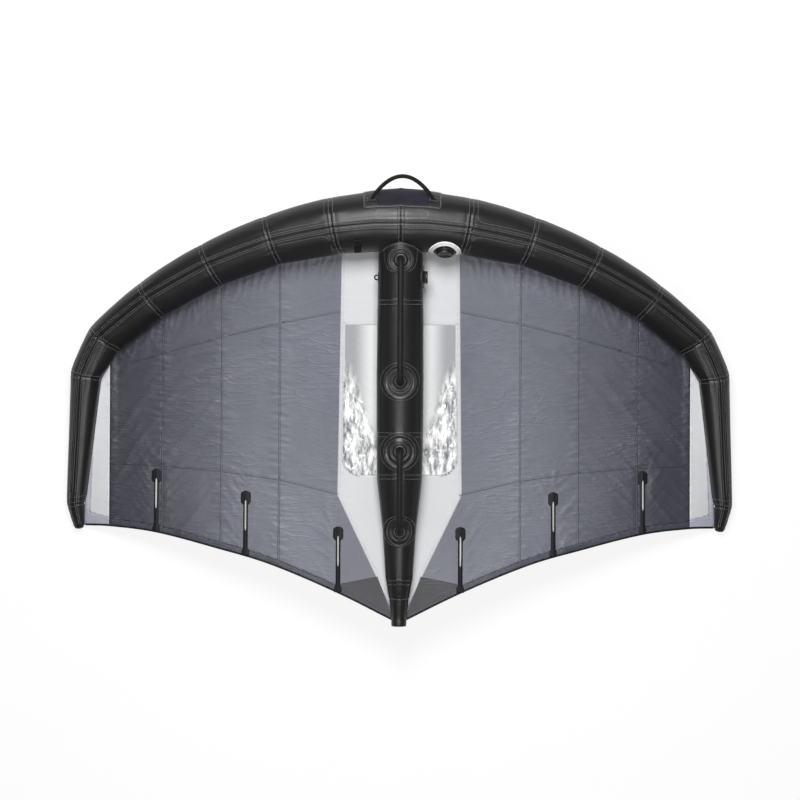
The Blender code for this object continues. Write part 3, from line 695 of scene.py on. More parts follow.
def window_finish():
    """Clear film: painted reflections of its creases, dark to white, in its lower outer part, and
    painted shade making it a darker grey near its outer edge.
    """
    recipe = Recipe("window_film", (0.80, 0.81, 0.83), 0.12)
    film = recipe.place()
    out, along = recipe.apart(film)
    # Painted shade: the film's colour turns from light grey to dark grey towards its outer edge.
    band = recipe.blend(recipe.rise(out, 0.115, 0.2), (0.70, 0.71, 0.71), (0.33, 0.34, 0.35))
    # Painted reflections: the creases' streaks are painted dark and white, standing in for their glints
    # and dark folds.
    streaks = recipe.noise(film, 38.0, 5.0, 0.72, (1.0, 0.34, 1.0), -0.9)
    stops = (0.37, (0.16, 0.165, 0.17)), (0.46, (0.42, 0.43, 0.44)), (0.56, (0.88, 0.88, 0.88))
    tone = recipe.ramp(streaks, stops)
    outer = recipe.rise(out, 0.10, 0.22)
    level = recipe.math("MULTIPLY_ADD", outer, -0.26, along)
    where = recipe.rise(level, -0.07, -0.20)
    recipe.paint(recipe.blend(where, band, tone))
    recipe.rough(streaks, 0.08, 0.22)
    recipe.set(IOR=1.5, Coat_Weight=1.0, Coat_Roughness=0.05, Alpha=0.82)
    recipe.bump((recipe.math("MULTIPLY", streaks, where), 0.006, 0.5))


def webbing_finish():
    """Ribbed webbing with a little fluff."""
    recipe = Recipe("webbing", (0.016, 0.016, 0.018), 0.7)
    cloth = recipe.place()
    rows = recipe.wave(cloth, math.tau / 0.0025 / 20, "Y")
    ribs = recipe.wave(cloth, math.tau / 0.0016 / 20, "X")
    fluff = recipe.noise(cloth, 500.0, 3.0, 0.7)
    recipe.paint(recipe.ramp(rows, ((0.2, (0.0045, 0.0045, 0.005)), (0.8, (0.013, 0.013, 0.0145)))))
    recipe.rough(fluff, 0.6, 0.85)
    recipe.set(Specular_IOR_Level=0.15)
    recipe.bump((rows, 0.0006, 0.6), (ribs, 0.0005, 0.5), (fluff, 0.0002, 0.5))


def canopy_finish(name, colour, base_roughness, tones, roughness, tip_shade=None, depth=1.0):
    """Ripstop cloth: a fine weave, a grid of heavier threads, creases, uneven dye, painted shade in the
    creases, and painted shade darkening it towards the tips when a tip colour is given.
    """
    recipe = Recipe(name, colour, base_roughness)
    cloth = recipe.place()
    out, along = recipe.apart(recipe.place("Object"))
    tone = recipe.noise(cloth, 3.2, 4.0, 0.55)
    crumple = recipe.noise(cloth, 26.0, 4.0, 0.6)
    low, high = shade(colour, tones[0]), shade(colour, tones[1])
    base = recipe.ramp(tone, ((0.32, low), (0.68, high)))
    if tip_shade:
        # Painted shade: the cloth is darkened towards the tips, from 0.4 m to 1.25 m out from the
        # centre line.
        base = recipe.blend(recipe.rise(out, 0.4, 1.25), base, tip_shade, "MULTIPLY")
    half = recipe.node("ShaderNodeCombineXYZ", {"X": out, "Y": along})
    where = recipe.rise(recipe.noise(cloth, 3.0, 2.0), 0.30, 0.75)
    folds = recipe.ridges(half.outputs[0], 6.5, (1.0, 4.5, 1.0), 0.22, 13.0)
    small = recipe.ridges(half.outputs[0], 15.0, (1.0, 4.0, 1.0), 0.30, 11.0)
    folds = recipe.math("MULTIPLY", recipe.math("MULTIPLY_ADD", small, 0.35, folds), where)
    lines = ripstop_lines(recipe, cloth, 0.0065, 0.09)
    base = recipe.blend(recipe.math("MULTIPLY", lines, 0.5), base, (0.86, 0.87, 0.9), "MULTIPLY")
    # Painted shade: the cloth's colour is darkened along the folds, as shade would fall in its creases.
    shadow = recipe.math("MULTIPLY", folds, 0.3 * depth)
    recipe.paint(recipe.blend(shadow, base, (0.7, 0.7, 0.74), "MULTIPLY"))
    recipe.rough(crumple, *roughness)
    weave = plain_weave(recipe, cloth, 0.0009)
    creases = (folds, 0.0045, 0.24 * depth), (crumple, 0.004, 0.10 * depth)
    recipe.bump(*creases, (lines, 0.0002, 0.5), (weave, 0.0001, 0.25))
    return recipe


def make_materials():
    """Every finish on the wing."""
    colours = wing_colours()
    tube, moulding, thread = colours.tube, colours.moulding, colours.thread
    tube_finish(tube)
    window_finish()
    webbing_finish()
    # Painted shade for the canopy's tips: the colour that the cloth is multiplied by at the tips.
    painted_tip_shade = (0.27, 0.27, 0.30)
    tip_white = shade(colours.white, 1.08)
    for row in (
        ("canopy_cloth", colours.canopy, 0.42, (0.9, 1.07), (0.36, 0.5), painted_tip_shade),
        ("white_cloth", colours.white, 0.46, (0.965, 1.02), (0.42, 0.55), None, 0.25),
        ("tip_cloth", tip_white, 0.46, (0.95, 1.03), (0.42, 0.55), None, 0.35),
        ("gore_cloth", (0.33, 0.34, 0.40), 0.4, (0.8, 1.15), (0.36, 0.5)),
        ("edge_cloth", colours.edge, 0.5, (0.8, 1.2), (0.42, 0.6)),
        ("canopy_tape", shade(colours.canopy, 0.92), 0.46, (0.92, 1.05), (0.4, 0.55), painted_tip_shade),
        ("white_tape", shade(colours.white, 0.96), 0.46, (0.95, 1.03), (0.45, 0.6)),
        ("corner_cloth", shade(colours.canopy, 0.19), 0.46, (0.8, 1.2), (0.4, 0.55)),
    ):
        canopy_finish(*row)
    sheen = finishes["canopy_cloth"].node_tree.nodes["Principled BSDF"].inputs
    sheen["Sheen Weight"].default_value = 0.12
    sheen["Sheen Roughness"].default_value = 0.4

    worn_finish(
        "tape_cloth", shade(tube, 1.2), 0.46, (60.0, 4.0, 0.65),
        ((0.3, shade(tube, 0.95)), (0.75, shade(tube, 1.7))), (0.4, 0.58),
        (("marks", 0.0008, 0.4), ("weave", 0.0002, 0.4)), "UV", weave=0.0014,
    )
    worn_finish(
        "bladder_film", (0.62, 0.66, 0.70), 0.3, (30.0, 4.0),
        ((0.3, (0.55, 0.6, 0.65)), (0.7, (0.68, 0.71, 0.74))), (0.22, 0.4),
        (("marks", 0.002, 0.4),), "UV",
    )
    worn_finish(
        "batten_pocket", (0.007, 0.0073, 0.009), 0.6, (80.0, 4.0),
        ((0.3, (0.005, 0.0052, 0.0065)), (0.7, (0.011, 0.0115, 0.0145))), (0.5, 0.72),
        (("marks", 0.0012, 0.5), ("weave", 0.0002, 0.4)), weave=0.0014, specular=0.2,
    )
    worn_finish(
        "batten_rod", (0.36, 0.37, 0.33), 0.34, (90.0, 4.0, 0.6, (1.0, 0.08, 1.0)),
        ((0.3, (0.27, 0.28, 0.25)), (0.7, (0.45, 0.46, 0.41))), (0.28, 0.45),
        (("marks", 0.0004, 0.4),),
    )
    pad = worn_finish(
        "pad_cloth", colours.pad, 0.72, (22.0, 3.0),
        ((0.3, shade(colours.pad, 0.8)), (0.7, shade(colours.pad, 1.25))), (0.6, 0.85),
        (("marks", 0.002, 0.3), ("fine", 0.0004, 0.6)),
        fine=(420.0, 3.0, 0.7), rough_by="fine", specular=0.2,
    )
    pad.set(Sheen_Weight=0.05)
    worn_finish(
        "grip_foam", (0.012, 0.012, 0.013), 0.82, (40.0, 4.0, 0.7),
        ((0.35, (0.004, 0.004, 0.0045)), (0.75, (0.010, 0.010, 0.011))), (0.5, 0.72),
        (("marks", 0.001, 0.3), ("fine", 0.0005, 0.7)), fine=(650.0, 2.0, 0.8), specular=0.22,
    )
    worn_finish(
        "valve_moulding", moulding, 0.42, (60.0, 4.0, 0.65),
        ((0.35, shade(moulding, 0.8)), (0.75, shade(moulding, 1.9))), (0.3, 0.52),
        (("fine", 0.0002, 0.5), ("marks", 0.0006, 0.2)), fine=(900.0, 2.0, 0.6),
    )
    # Painted highlight: the raised rim of the front bases is coloured lighter than the moulding,
    # standing in for the highlights on its glossy black ring.
    worn_finish(
        "base_rim", shade(moulding, 2.6), 0.45, (120.0, 4.0, 0.7),
        ((0.3, shade(moulding, 2.0)), (0.75, shade(moulding, 5.0))), (0.36, 0.6),
        (("marks", 0.0004, 0.4),),
    )
    worn_finish(
        "valve_ring_film", (0.83, 0.83, 0.84), 0.36, (70.0, 4.0, 0.7),
        ((0.3, (0.78, 0.78, 0.79)), (0.6, (0.86, 0.86, 0.87))), (0.3, 0.48),
        (("marks", 0.0008, 0.35),),
    )
    for name, colour, low, high in (
        ("thread", thread, shade(thread, 0.75), shade(thread, 1.2)),
        ("dark_thread", (0.038, 0.040, 0.050), (0.030, 0.031, 0.040), (0.048, 0.050, 0.062)),
        ("white_thread", (0.62, 0.63, 0.66), (0.5, 0.51, 0.54), (0.72, 0.73, 0.76)),
    ):
        stops = (0.3, low), (0.7, high)
        worn_finish(name, colour, 0.6, (900.0, 2.0), stops, None, (("marks", 0.0003, 0.6),))


# Stitches: one tree lays zigzag or straight stitches along any seam line

def stitch_tree():
    """Stitches along the edges of a mesh, standing on its facing attribute."""
    tree = bpy.data.node_groups.new("stitch_run", "GeometryNodeTree")
    face = tree.interface
    face.new_socket("Seam lines", in_out="INPUT", socket_type="NodeSocketGeometry")
    for name in ("Pitch", "Length", "Width", "Slant"):
        face.new_socket(name, in_out="INPUT", socket_type="NodeSocketFloat")
    face.new_socket("Thread", in_out="INPUT", socket_type="NodeSocketMaterial")
    face.new_socket("Stitches", in_out="OUTPUT", socket_type="NodeSocketGeometry")

    def add(kind, result=0, inputs=(), **settings):
        return add_node(tree, kind, inputs, **settings).outputs[result]

    def reckon(operation, *values):
        return add("ShaderNodeMath", inputs=enumerate(values), operation=operation)

    source = tree.nodes.new("NodeGroupInput").outputs
    curve = add("GeometryNodeMeshToCurve", inputs={"Mesh": source["Seam lines"]})
    spacing = {"Curve": curve, "Length": source["Pitch"]}
    points = add("GeometryNodeResampleCurve", inputs=spacing, mode="LENGTH")

    ball = add("GeometryNodeMeshIcoSphere", inputs={"Subdivisions": 1, "Radius": 0.5})
    flat = reckon("MULTIPLY", source["Width"], 0.8)
    size = {"X": source["Length"], "Y": source["Width"], "Z": flat}
    size = add("ShaderNodeCombineXYZ", inputs=size)
    shape = add("GeometryNodeTransform", inputs={"Geometry": ball, "Scale": size})

    facing = {"Name": "facing"}
    facing = add("GeometryNodeInputNamedAttribute", "Attribute", facing, data_type="FLOAT_VECTOR")
    stand = add("FunctionNodeAlignRotationToVector", inputs={"Vector": facing}, axis="Z")
    along = {"Rotation": stand, "Vector": add("GeometryNodeInputTangent")}
    run = add("FunctionNodeAlignRotationToVector", inputs=along, axis="X", pivot_axis="Z")

    odd = reckon("MODULO", add("GeometryNodeInputIndex"), 2.0)
    way = reckon("MULTIPLY_ADD", odd, 2.0, -1.0)
    zigzag = add("ShaderNodeCombineXYZ", inputs={"Z": reckon("MULTIPLY", way, source["Slant"])})
    lean = add("FunctionNodeEulerToRotation", inputs={"Euler": zigzag})
    turn = {"Rotation": run, "Rotate By": lean}
    turn = add("FunctionNodeRotateRotation", inputs=turn, rotation_space="LOCAL")

    placed = {"Points": points, "Instance": shape, "Rotation": turn}
    placed = add("GeometryNodeInstanceOnPoints", inputs=placed)
    real = add("GeometryNodeRealizeInstances", inputs={"Geometry": placed})
    paint = {"Geometry": real, "Material": source["Thread"]}
    paint = add("GeometryNodeSetMaterial", inputs=paint)
    tree.links.new(paint, tree.nodes.new("NodeGroupOutput").inputs["Stitches"])
    return tree


def stitched(name, lines, thread="thread", body="wing", slant=None, slot="tube_cloth", scale=1.0):
    """Stitches along lines of (point, facing) pairs become one plain piece."""
    sizes = wing_sizes()
    mesh = bpy.data.meshes.new(name)
    points, facings, edges = [], [], []
    for line in lines:
        start = len(points)
        points += [point for point, facing in line]
        facings += [facing for point, facing in line]
        edges += [(start + k, start + k + 1) for k in range(len(line) - 1)]
    mesh.from_pydata([tuple(point) for point in points], edges, [])
    layer = mesh.attributes.new("facing", "FLOAT_VECTOR", "POINT")
    layer.data.foreach_set("vector", [value for facing in facings for value in facing])
    seam = put_in_scene(name + "_seam", mesh)
    tree = bpy.data.node_groups.get("stitch_run") or stitch_tree()
    modifier = seam.modifiers.new("stitches", "NODES")
    modifier.node_group = tree
    values = {
        "Pitch": sizes.stitch_pitch * scale,
        "Length": sizes.stitch_pitch * 0.86 * scale,
        "Width": sizes.stitch_width * scale,
        "Slant": sizes.stitch_slant if slant is None else slant,
        "Thread": finishes[thread],
    }
    for socket in tree.interface.items_tree:
        if socket.item_type == "SOCKET" and socket.in_out == "INPUT" and socket.name in values:
            modifier[socket.identifier] = values[socket.name]
    bpy.context.view_layer.update()
    ready = seam.evaluated_get(bpy.context.evaluated_depsgraph_get())
    made_mesh = bpy.data.meshes.new_from_object(ready)
    bpy.data.objects.remove(seam)
    made_mesh.name = name
    mesh_piece(name, made_mesh, thread, body, slot)


# Tubes

tube_segments = 84
seam_band = 0.0115
lengthwise_band = 0.0225


def wrap_turn(turn):
    """A turn between minus half and plus half a round."""
    return (turn + math.pi) % math.tau - math.pi


def tube_lift(place, turn):
    """How far the sewn sleeve stands off the plain tube."""
    sizes = wing_sizes()
    first, second, part = panel_at(place)
    near = min(part, 1 - part) * (second.place - first.place).length
    off = abs(wrap_turn(turn)) * tube_radius(place)
    lift = -0.0012
    lift -= sizes.pucker_depth * bump(near, 0.030)
    lift += 0.0008 * (1 - step(seam_band, seam_band + 0.002, near))
    lift -= 0.0014 * bump(near, 0.0035)
    lift += 0.0008 * (1 - step(lengthwise_band, lengthwise_band + 0.002, off))
    lift -= 0.0030 * bump(off, 0.0045)
    lift -= 0.0014 * bump(off, 0.045)
    seed = Vector((turn * 5.0, round(place) * 7.3, 2.0))
    folds = noise.noise(seed) + 0.6 * noise.noise(seed * 2.3)
    lift += 0.0028 * folds * bump(near, 0.085)
    middle = Vector((math.cos(turn), math.sin(turn), place * 2.5))
    lift += 0.0007 * noise.noise(middle * 1.6)
    return lift


def seam_turn(place):
    """How far the lengthwise seam lies behind the tube's top, as a turn."""
    return -0.12 * (1 - step(3.0, 6.0, place))


def settle(point, place, facing):
    """Bow the front of the tube's panels outwards a little, and round its nose."""
    first, second, part = panel_at(place)
    if 1 <= place < 6:
        along = second.place - first.place
        out = Vector((-along.y, along.x, 0))
        share = 0.5 + 0.5 * max(-1.0, min(1.0, facing.dot(out.normalized())))
        point = point + out * (0.088 * part * (1 - part) * share)
    point.y -= 0.009 * bump(point.x, 0.13)
    return point


def run_at(place):
    """The way the tube runs towards its tip, turning smoothly from panel to panel."""
    index = min(int(place), tip - 1)
    runs = []
    for k in (index, index + 1):
        run = stations[min(k + 1, tip)].place - stations[max(k - 1, 0)].place
        runs.append(Vector((run.x, run.y, 0)).normalized())
    return runs[0].lerp(runs[1], place - index)


def on_tube(place, turn, side, lift=0.0):
    """A point on the sewn sleeve at a turn from its lengthwise seam, and the way it faces."""
    angle = turn + seam_turn(place)
    facing = tube_normal(place, angle)
    point = settle(tube_point(place, angle, tube_lift(place, turn) + lift), place, facing)
    # The cross seams bulge towards the tip on top of the tube
    share = step(0.4, 1.0, place) * (1 - step(6.0, float(tip), place))
    point = point + run_at(place) * (0.015 * share * max(0.0, math.cos(angle)) ** 2)
    point.z = max(point.z, 0.0002)
    flip = Vector((side, 1, 1))
    return point * flip, facing * flip


def tube_panel(index, side):
    """One sewn length of the leading-edge tube."""
    length = tube_length(index)
    count = max(6, round(length / 0.009))
    places = [index + k / count for k in range(count + 1)]
    for edge in (0.0035, seam_band, seam_band + 0.002):
        places += [index + edge / length, index + 1 - edge / length]
    places = sorted(set(round(place, 6) for place in places if index <= place <= index + 1))
    turns = tube_turns(tube_radius(index + 0.5))
    bm = bmesh.new()
    rings = [[on_tube(place, turn, side)[0] for turn in turns] for place in places]
    radii = [tube_radius(place) for place in places]
    # Painted shade in the seams' grooves: 1 along the lengthwise seam and 0.8 along the cross seams,
    # fading out within 5 mm.
    seam_shade = bm.verts.layers.float.new("seam_shade")
    rows = skin_tube(bm, rings, turns, radii, [(place - index) * length for place in places])
    for row, place, radius in zip(rows, places, radii):
        near = min(place - index, index + 1 - place) * length
        for vertex, turn in zip(row, turns):
            off = abs(wrap_turn(turn)) * radius
            vertex[seam_shade] = max(bump(off, 0.005), 0.8 * bump(near, 0.005))
    if index + 1 == tip:
        close_tip(bm, rings[-1], side)
    middle = tube_point(index + 0.5, 0, -tube_radius(index + 0.5)) * Vector((side, 1, 1))
    face_away(bm, middle)
    node = named(f"leading_edge_sleeve_{index + 1}", side)
    piece(named(f"sewn_tube_{index + 1}", side), bm, "tube_cloth", node=node)


def face_away(bm, middle):
    """Faces of an open tube point away from its middle."""
    bm.normal_update()
    out = [face.normal.dot(face.calc_center_median() - middle) > 0 for face in bm.faces]
    if sum(out) * 2 < len(out):
        bmesh.ops.reverse_faces(bm, faces=bm.faces)


def tube_turns(radius):
    """Turns round the tube, closer together along its lengthwise seam."""
    reach = 0.028 / radius
    turns = [turn for turn in round_turns(tube_segments) if abs(wrap_turn(turn)) > reach]
    edges = 0.0015, 0.0045, lengthwise_band, lengthwise_band + 0.002, 0.009, 0.014, 0.0185
    for off in edges:
        turns += [off / radius, (-off / radius) % math.tau]
    return sorted(turns + [0.0])


def skin_tube(bm, rings, turns, radii, lengths):
    """Skin closed rings, with the cloth's own places in the UV map."""
    layer = cloth_layer(bm)
    rows = ring_rows(bm, rings)
    ends = turns[1:] + [turns[0] + math.tau]
    faces = iter(bm.faces)
    for i in range(len(rows) - 1):
        radius = (radii[i] + radii[i + 1]) / 2
        near, far = lengths[i], lengths[i + 1]
        for turn, end in zip(turns, ends):
            first, last = turn * radius, end * radius
            places = (first, near), (last, near), (last, far), (first, far)
            for loop, place in zip(next(faces).loops, places):
                loop[layer].uv = place
    return rows


def close_tip(bm, ring, side):
    """A gathered round end: the sleeve's tip."""
    bm.verts.ensure_lookup_table()
    row = bm.verts[len(bm.verts) - len(ring):]
    centre = sum(ring, Vector()) / len(ring)
    run = (stations[tip].place - stations[tip - 1].place).normalized()
    out = Vector((side * run.x, run.y, 0))
    before = set(bm.faces)
    for share, rise in ((0.93, 0.004), (0.75, 0.0075), (0.45, 0.0095), (0.15, 0.0105)):
        following = [bm.verts.new(centre + (point - centre) * share + out * rise) for point in ring]
        for k in range(len(ring)):
            n = (k + 1) % len(ring)
            bm.faces.new((row[k], row[n], following[n], following[k]))
        row = following
    middle = bm.verts.new(centre + out * 0.0108)
    for k in range(len(ring)):
        bm.faces.new((row[k], row[(k + 1) % len(ring)], middle))
    layer = cloth_layer(bm)
    for face in set(bm.faces) - before:
        for loop in face.loops:
            loop[layer].uv = (loop.vert.co.x, loop.vert.co.z)


def air_tube_rings(reach):
    """Rings of the long bladder from one tip to the other, inside the sleeve."""
    places = [index + k / 6 for index in range(tip) for k in range(6)] + [tip - 0.12]
    half = []
    for place in places:
        ring = []
        for turn in round_turns(36):
            point = tube_point(place, turn, reach)
            ring.append(settle(point, place, tube_normal(place, turn)))
        half.append(ring)
    mirror = Vector((-1, 1, 1))
    return [[point * mirror for point in ring] for ring in reversed(half[1:])] + half


def strut_lift(y, angle):
    """How far the sewn sleeve stands off the plain strut."""
    sizes = wing_sizes()
    near = min(abs(y - seam) for seam in strut_seams)
    lift = -0.0010
    lift -= sizes.pucker_depth * 0.7 * bump(near, 0.030)
    lift += 0.0007 * (1 - step(seam_band, seam_band + 0.002, near))
    lift -= 0.0012 * bump(near, 0.0035)
    seed = Vector((angle * 6.0, y * 3.0, 5.0))
    lift += 0.0016 * noise.noise(seed * 1.5) * bump(near, 0.06)
    lift += 0.0006 * noise.noise(Vector((math.sin(angle) * 2, math.cos(angle) * 2, y * 6)))
    return lift


strut_seams = tuple(nose_y - back for back in (0.3473, 0.8930, 1.0670, 1.5050, 1.5740))


def on_strut(y, angle, lift=0.0):
    """A point on the sewn strut, and the way it faces."""
    point = strut_point(y, angle, strut_lift(y, angle) + lift)
    return point, Vector((math.sin(angle), 0, math.cos(angle)))


def strut_piece(name, start, end):
    """One sewn length of the strut; the first starts on the leading-edge tube."""
    count = max(4, round((start - end) / 0.008))
    places = [start + (end - start) * k / count for k in range(count + 1)]
    for seam in strut_seams:
        for edge in (0, 0.0035, seam_band, seam_band + 0.002):
            places += [y for y in (seam + edge, seam - edge) if end <= y <= start]
    places = sorted(set(round(y, 6) for y in places), reverse=True)
    turns = round_turns(tube_segments)
    limits = [strut_front(turn) + 0.002 for turn in turns]
    rings = []
    for y in places:
        rings.append([on_strut(min(y, limit), turn)[0] for turn, limit in zip(turns, limits)])
    bm = bmesh.new()
    radii = [strut_section(y)[1] for y in places]
    skin_tube(bm, rings, turns, radii, [start - y for y in places])
    bmesh.ops.dissolve_degenerate(bm, dist=1e-6, edges=bm.edges)
    face_away(bm, Vector((0, (start + end) / 2, strut_section((start + end) / 2)[0])))
    piece(f"sewn_strut_{name}", bm, "tube_cloth", node=f"strut_sleeve_{name}")


def strut_cap():
    """The gathered cap over the strut's rear end, closed by a flat stitched disc."""
    front = nose_y - strut_backs[-1]
    turns = round_turns(tube_segments)
    profile = (
        (front + 0.004, 0.0006), (front - 0.001, 0.0010), (front - 0.004, 0.0002),
        (front - 0.016, 0.0004), (tail_y + 0.007, 0.0), (tail_y + 0.0025, -0.0010),
        (tail_y + 0.0006, -0.0032), (tail_y, -0.0070), (tail_y + 0.0008, -0.0078),
        (tail_y + 0.0003, -0.0086), (tail_y, -0.016), (tail_y, -0.024),
    )
    rings = []
    for y, lift in profile:
        depth = 0.0007 * bump(y - tail_y, 0.02)
        folds = [depth * noise.noise(Vector((turn * 7, 1, y * 9))) for turn in turns]
        rings.append(
            [strut_point(y, turn, lift - 0.0008 + fold) for turn, fold in zip(turns, folds)]
        )
    bm = bmesh.new()
    rows = skin_tube(bm, rings, turns, [0.03] * len(rings), run_lengths(profile))
    cap_fan(bm, rows[-1])
    face_away(bm, Vector((0, (front + tail_y) / 2, strut_section(front)[0])))
    piece("strut_end_cap_sewn", bm, "tube_cloth", node="strut_end_cap")


def air_tube(name, rings, lengths, node):
    """A closed tube of film, in place of a plain bladder."""
    bm = bmesh.new()
    rows = skin_tube(bm, rings, round_turns(36), [0.08] * len(rings), lengths)
    cap_fan(bm, rows[0][::-1])
    cap_fan(bm, rows[-1])
    outwards(bm)
    piece(name, bm, "bladder_film", node=node)


def bladders():
    """The two air tubes inside the sleeves."""
    rings = air_tube_rings(-0.012)
    lengths = run_lengths([ring[0] for ring in rings])
    air_tube("air_tube_leading_edge", rings, lengths, "leading_edge_bladder")

    low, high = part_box("strut_bladder")
    places = [high.y + (low.y - high.y) * k / 60 for k in range(61)]
    rings = []
    for k, y in enumerate(places):
        round_end = -0.012 * bump(min(k, 60 - k), 2)
        rings.append([strut_point(y, turn, -0.0085 + round_end) for turn in round_turns(36)])
    air_tube("air_tube_strut", rings, [high.y - y for y in places], "strut_bladder")


# Seam lines of the tubes

def tube_cross_line(place, side, offset, lift=0.0003):
    """A line round the tube, offset along it from a cross seam."""
    index = place if offset >= 0 else max(place - 1, 0)
    at = place + offset / tube_length(index)
    if at < 0:
        at = -at
        side = -side
    count = max(12, round(tube_radius(place) * math.tau / 0.008))
    return [on_tube(at, math.tau * k / count, side, lift) for k in range(count + 1)]


def tube_long_line(side, offset, lift=0.0003):
    """A line along the tube, offset round it from the lengthwise seam."""
    line = []
    for index in range(tip):
        count = max(4, round(tube_length(index) / 0.012))
        for k in range(count):
            place = index + k / count
            if 0.02 <= place <= tip - 0.02:
                line.append(on_tube(place, offset / tube_radius(place), side, lift))
    return line


def tube_outline(side, corners, radius=0.012, lift=0.0003, closed=True):
    """A rounded outline on the tube, its corners given as (distance along, offset round)."""
    points = rounded(corners, radius, closed)
    line = []
    for along, off in points:
        way, reach = (side, along) if along >= 0 else (-side, -along)
        place = place_along(reach)
        line.append(on_tube(place, off / tube_radius(place), way, lift))
    return line


def place_along(reach):
    """The tube place at a distance along its axis from the centre."""
    index = 0
    while index < tip - 1 and reach > tube_length(index):
        reach -= tube_length(index)
        index += 1
    return index + reach / tube_length(index)


def rounded(corners, radius, closed=True, step_length=0.008):
    """A flat outline with rounded corners, as close points."""
    corners = [Vector(corner) for corner in corners]
    count = len(corners)
    points = []
    for k, corner in enumerate(corners):
        if not closed and k in (0, count - 1):
            points.append(corner)
            continue
        before = corners[k - 1] - corner
        after = corners[(k + 1) % count] - corner
        reach = min(radius, before.length / 2, after.length / 2)
        first = corner + before.normalized() * reach
        last = corner + after.normalized() * reach
        for j in range(7):
            t = j / 6
            points.append(first * (1 - t) ** 2 + corner * 2 * t * (1 - t) + last * t * t)
    if closed:
        points.append(points[0])
    fine = []
    for first, second in zip(points, points[1:]):
        pieces = max(1, round((second - first).length / step_length))
        fine += [first.lerp(second, j / pieces) for j in range(pieces)]
    return fine + [points[-1]]


def strut_ring_line(y, lift=0.0003):
    count = max(12, round(strut_section(y)[1] * math.tau / 0.006))
    return [on_strut(y, math.tau * k / count, lift) for k in range(count + 1)]


def strut_outline(centre_y, points, lift):
    """A line on the strut's top, its points given as (across, along) from a place."""
    line = []
    for across, along in points:
        y = centre_y + along
        line.append(on_strut(y, across / strut_section(y)[1], lift))
    return line


# Canopy sheets

def crease(x, y, turn, wavelength, length, seed):
    """A ridged noise stretched along a direction: 0 to 1, with sharp tops."""
    c, s = math.cos(turn), math.sin(turn)
    along, across = x * c + y * s, -x * s + y * c
    value = noise.noise(Vector((along / length, across / wavelength, seed)))
    return (1 - abs(value) * 2.2) ** 3 if abs(value) < 0.45 else 0.0


vertical_seams = (inner_seam, middle_seam, outer_seam)
batten_lines = ((0.2540, 0.272), (0.6411, 0.268), (1.0179, 0.262))


def wrinkle(x, y, side):
    """The canopy's creases: x is measured from the centre line, side keeps the halves unlike."""
    sizes = wing_sizes()
    front, rear = front_line(x), rear_line(x)
    seed = 3.0 if side == right else 11.0
    edge = min(front - y, y - rear)
    soft = step(0.0, 0.03, edge)
    for place, length in batten_lines:
        if y < rear_line(place) + length + 0.03:
            soft *= step(0.012, 0.045, abs(x - place))
    height = 0.0
    towards_tip = step(0.45, 1.25, x)
    diagonal = math.radians(137)
    folds = crease(x, y, diagonal, 0.075, 0.5, seed)
    folds += 0.7 * crease(x, y, diagonal, 0.035, 0.3, seed + 5)
    height += folds * (0.15 + 0.85 * towards_tip) * 0.75
    upper = step(0.0, 0.3, front - y) * (1 - step(0.3, 0.7, front - y))
    height += 0.5 * crease(x, y, math.radians(160), 0.06, 0.4, seed + 2) * upper
    for seam in vertical_seams + (white_width, strip_inner):
        near = bump(x - seam, 0.075)
        height += 0.55 * near * crease(x, y, math.radians(4), 0.022, 0.16, seed + seam * 20)
    for place, length in batten_lines:
        away = math.hypot(x - place, max(y - rear_line(place) - length, 0) * 0.8)
        near = bump(away, 0.15)
        if near:
            turn = math.radians(50 if x > place else 130)
            height += 0.6 * near * crease(x, y, turn, 0.03, 0.14, seed + place * 9)
    under_tube = 1 - step(0.02, 0.16, front - y)
    if under_tube:
        height += 0.7 * under_tube * crease(x, y, math.radians(100), 0.03, 0.12, seed + 8)
    fine = noise.noise(Vector((x * 16, y * 16, seed)))
    fine += 0.5 * noise.noise(Vector((x * 41, y * 41, seed)))
    broad = noise.noise(Vector((x * 4.2, y * 4.2, seed + 1)))
    in_grey = step(0.0, 0.06, x - white_line(y)) * (1 - step(-0.02, 0.02, x - strip_inner))
    calm = 0.3 + 0.7 * in_grey
    return sizes.wrinkle_height * soft * calm * (height + 0.1 * fine + 0.8 * broad)


def crinkle(x, y, side):
    """The stiff film's creases, sharper and denser towards its outer lower part."""
    sizes = wing_sizes()
    seed = 21.0 if side == right else 34.0
    low = 1 - step(window_foot + 0.2, window_top - 0.12, y)
    outer = step(0.10, 0.23, x)
    dense = 0.10 + 0.9 * low * (0.35 + 0.65 * outer)
    height = 0.0
    for turn, wavelength, length, share in (
        (62, 0.034, 0.15, 1.0), (38, 0.022, 0.09, 0.7),
        (118, 0.030, 0.10, 0.7), (85, 0.016, 0.06, 0.45),
    ):
        height += share * crease(x, y, math.radians(turn), wavelength, length, seed + turn)
    fine = noise.noise(Vector((x * 60, y * 60, seed)))
    edge = min(window_top - y, y - window_foot, 0.2437 - x, x - strut_side(y))
    return sizes.crinkle_height * step(0, 0.02, edge) * dense * (height + 0.4 * fine)


def cloth_height(x, y, side):
    """The height of the sewn canopy at a place."""
    return surface(x, y) + wrinkle(x, y, side)


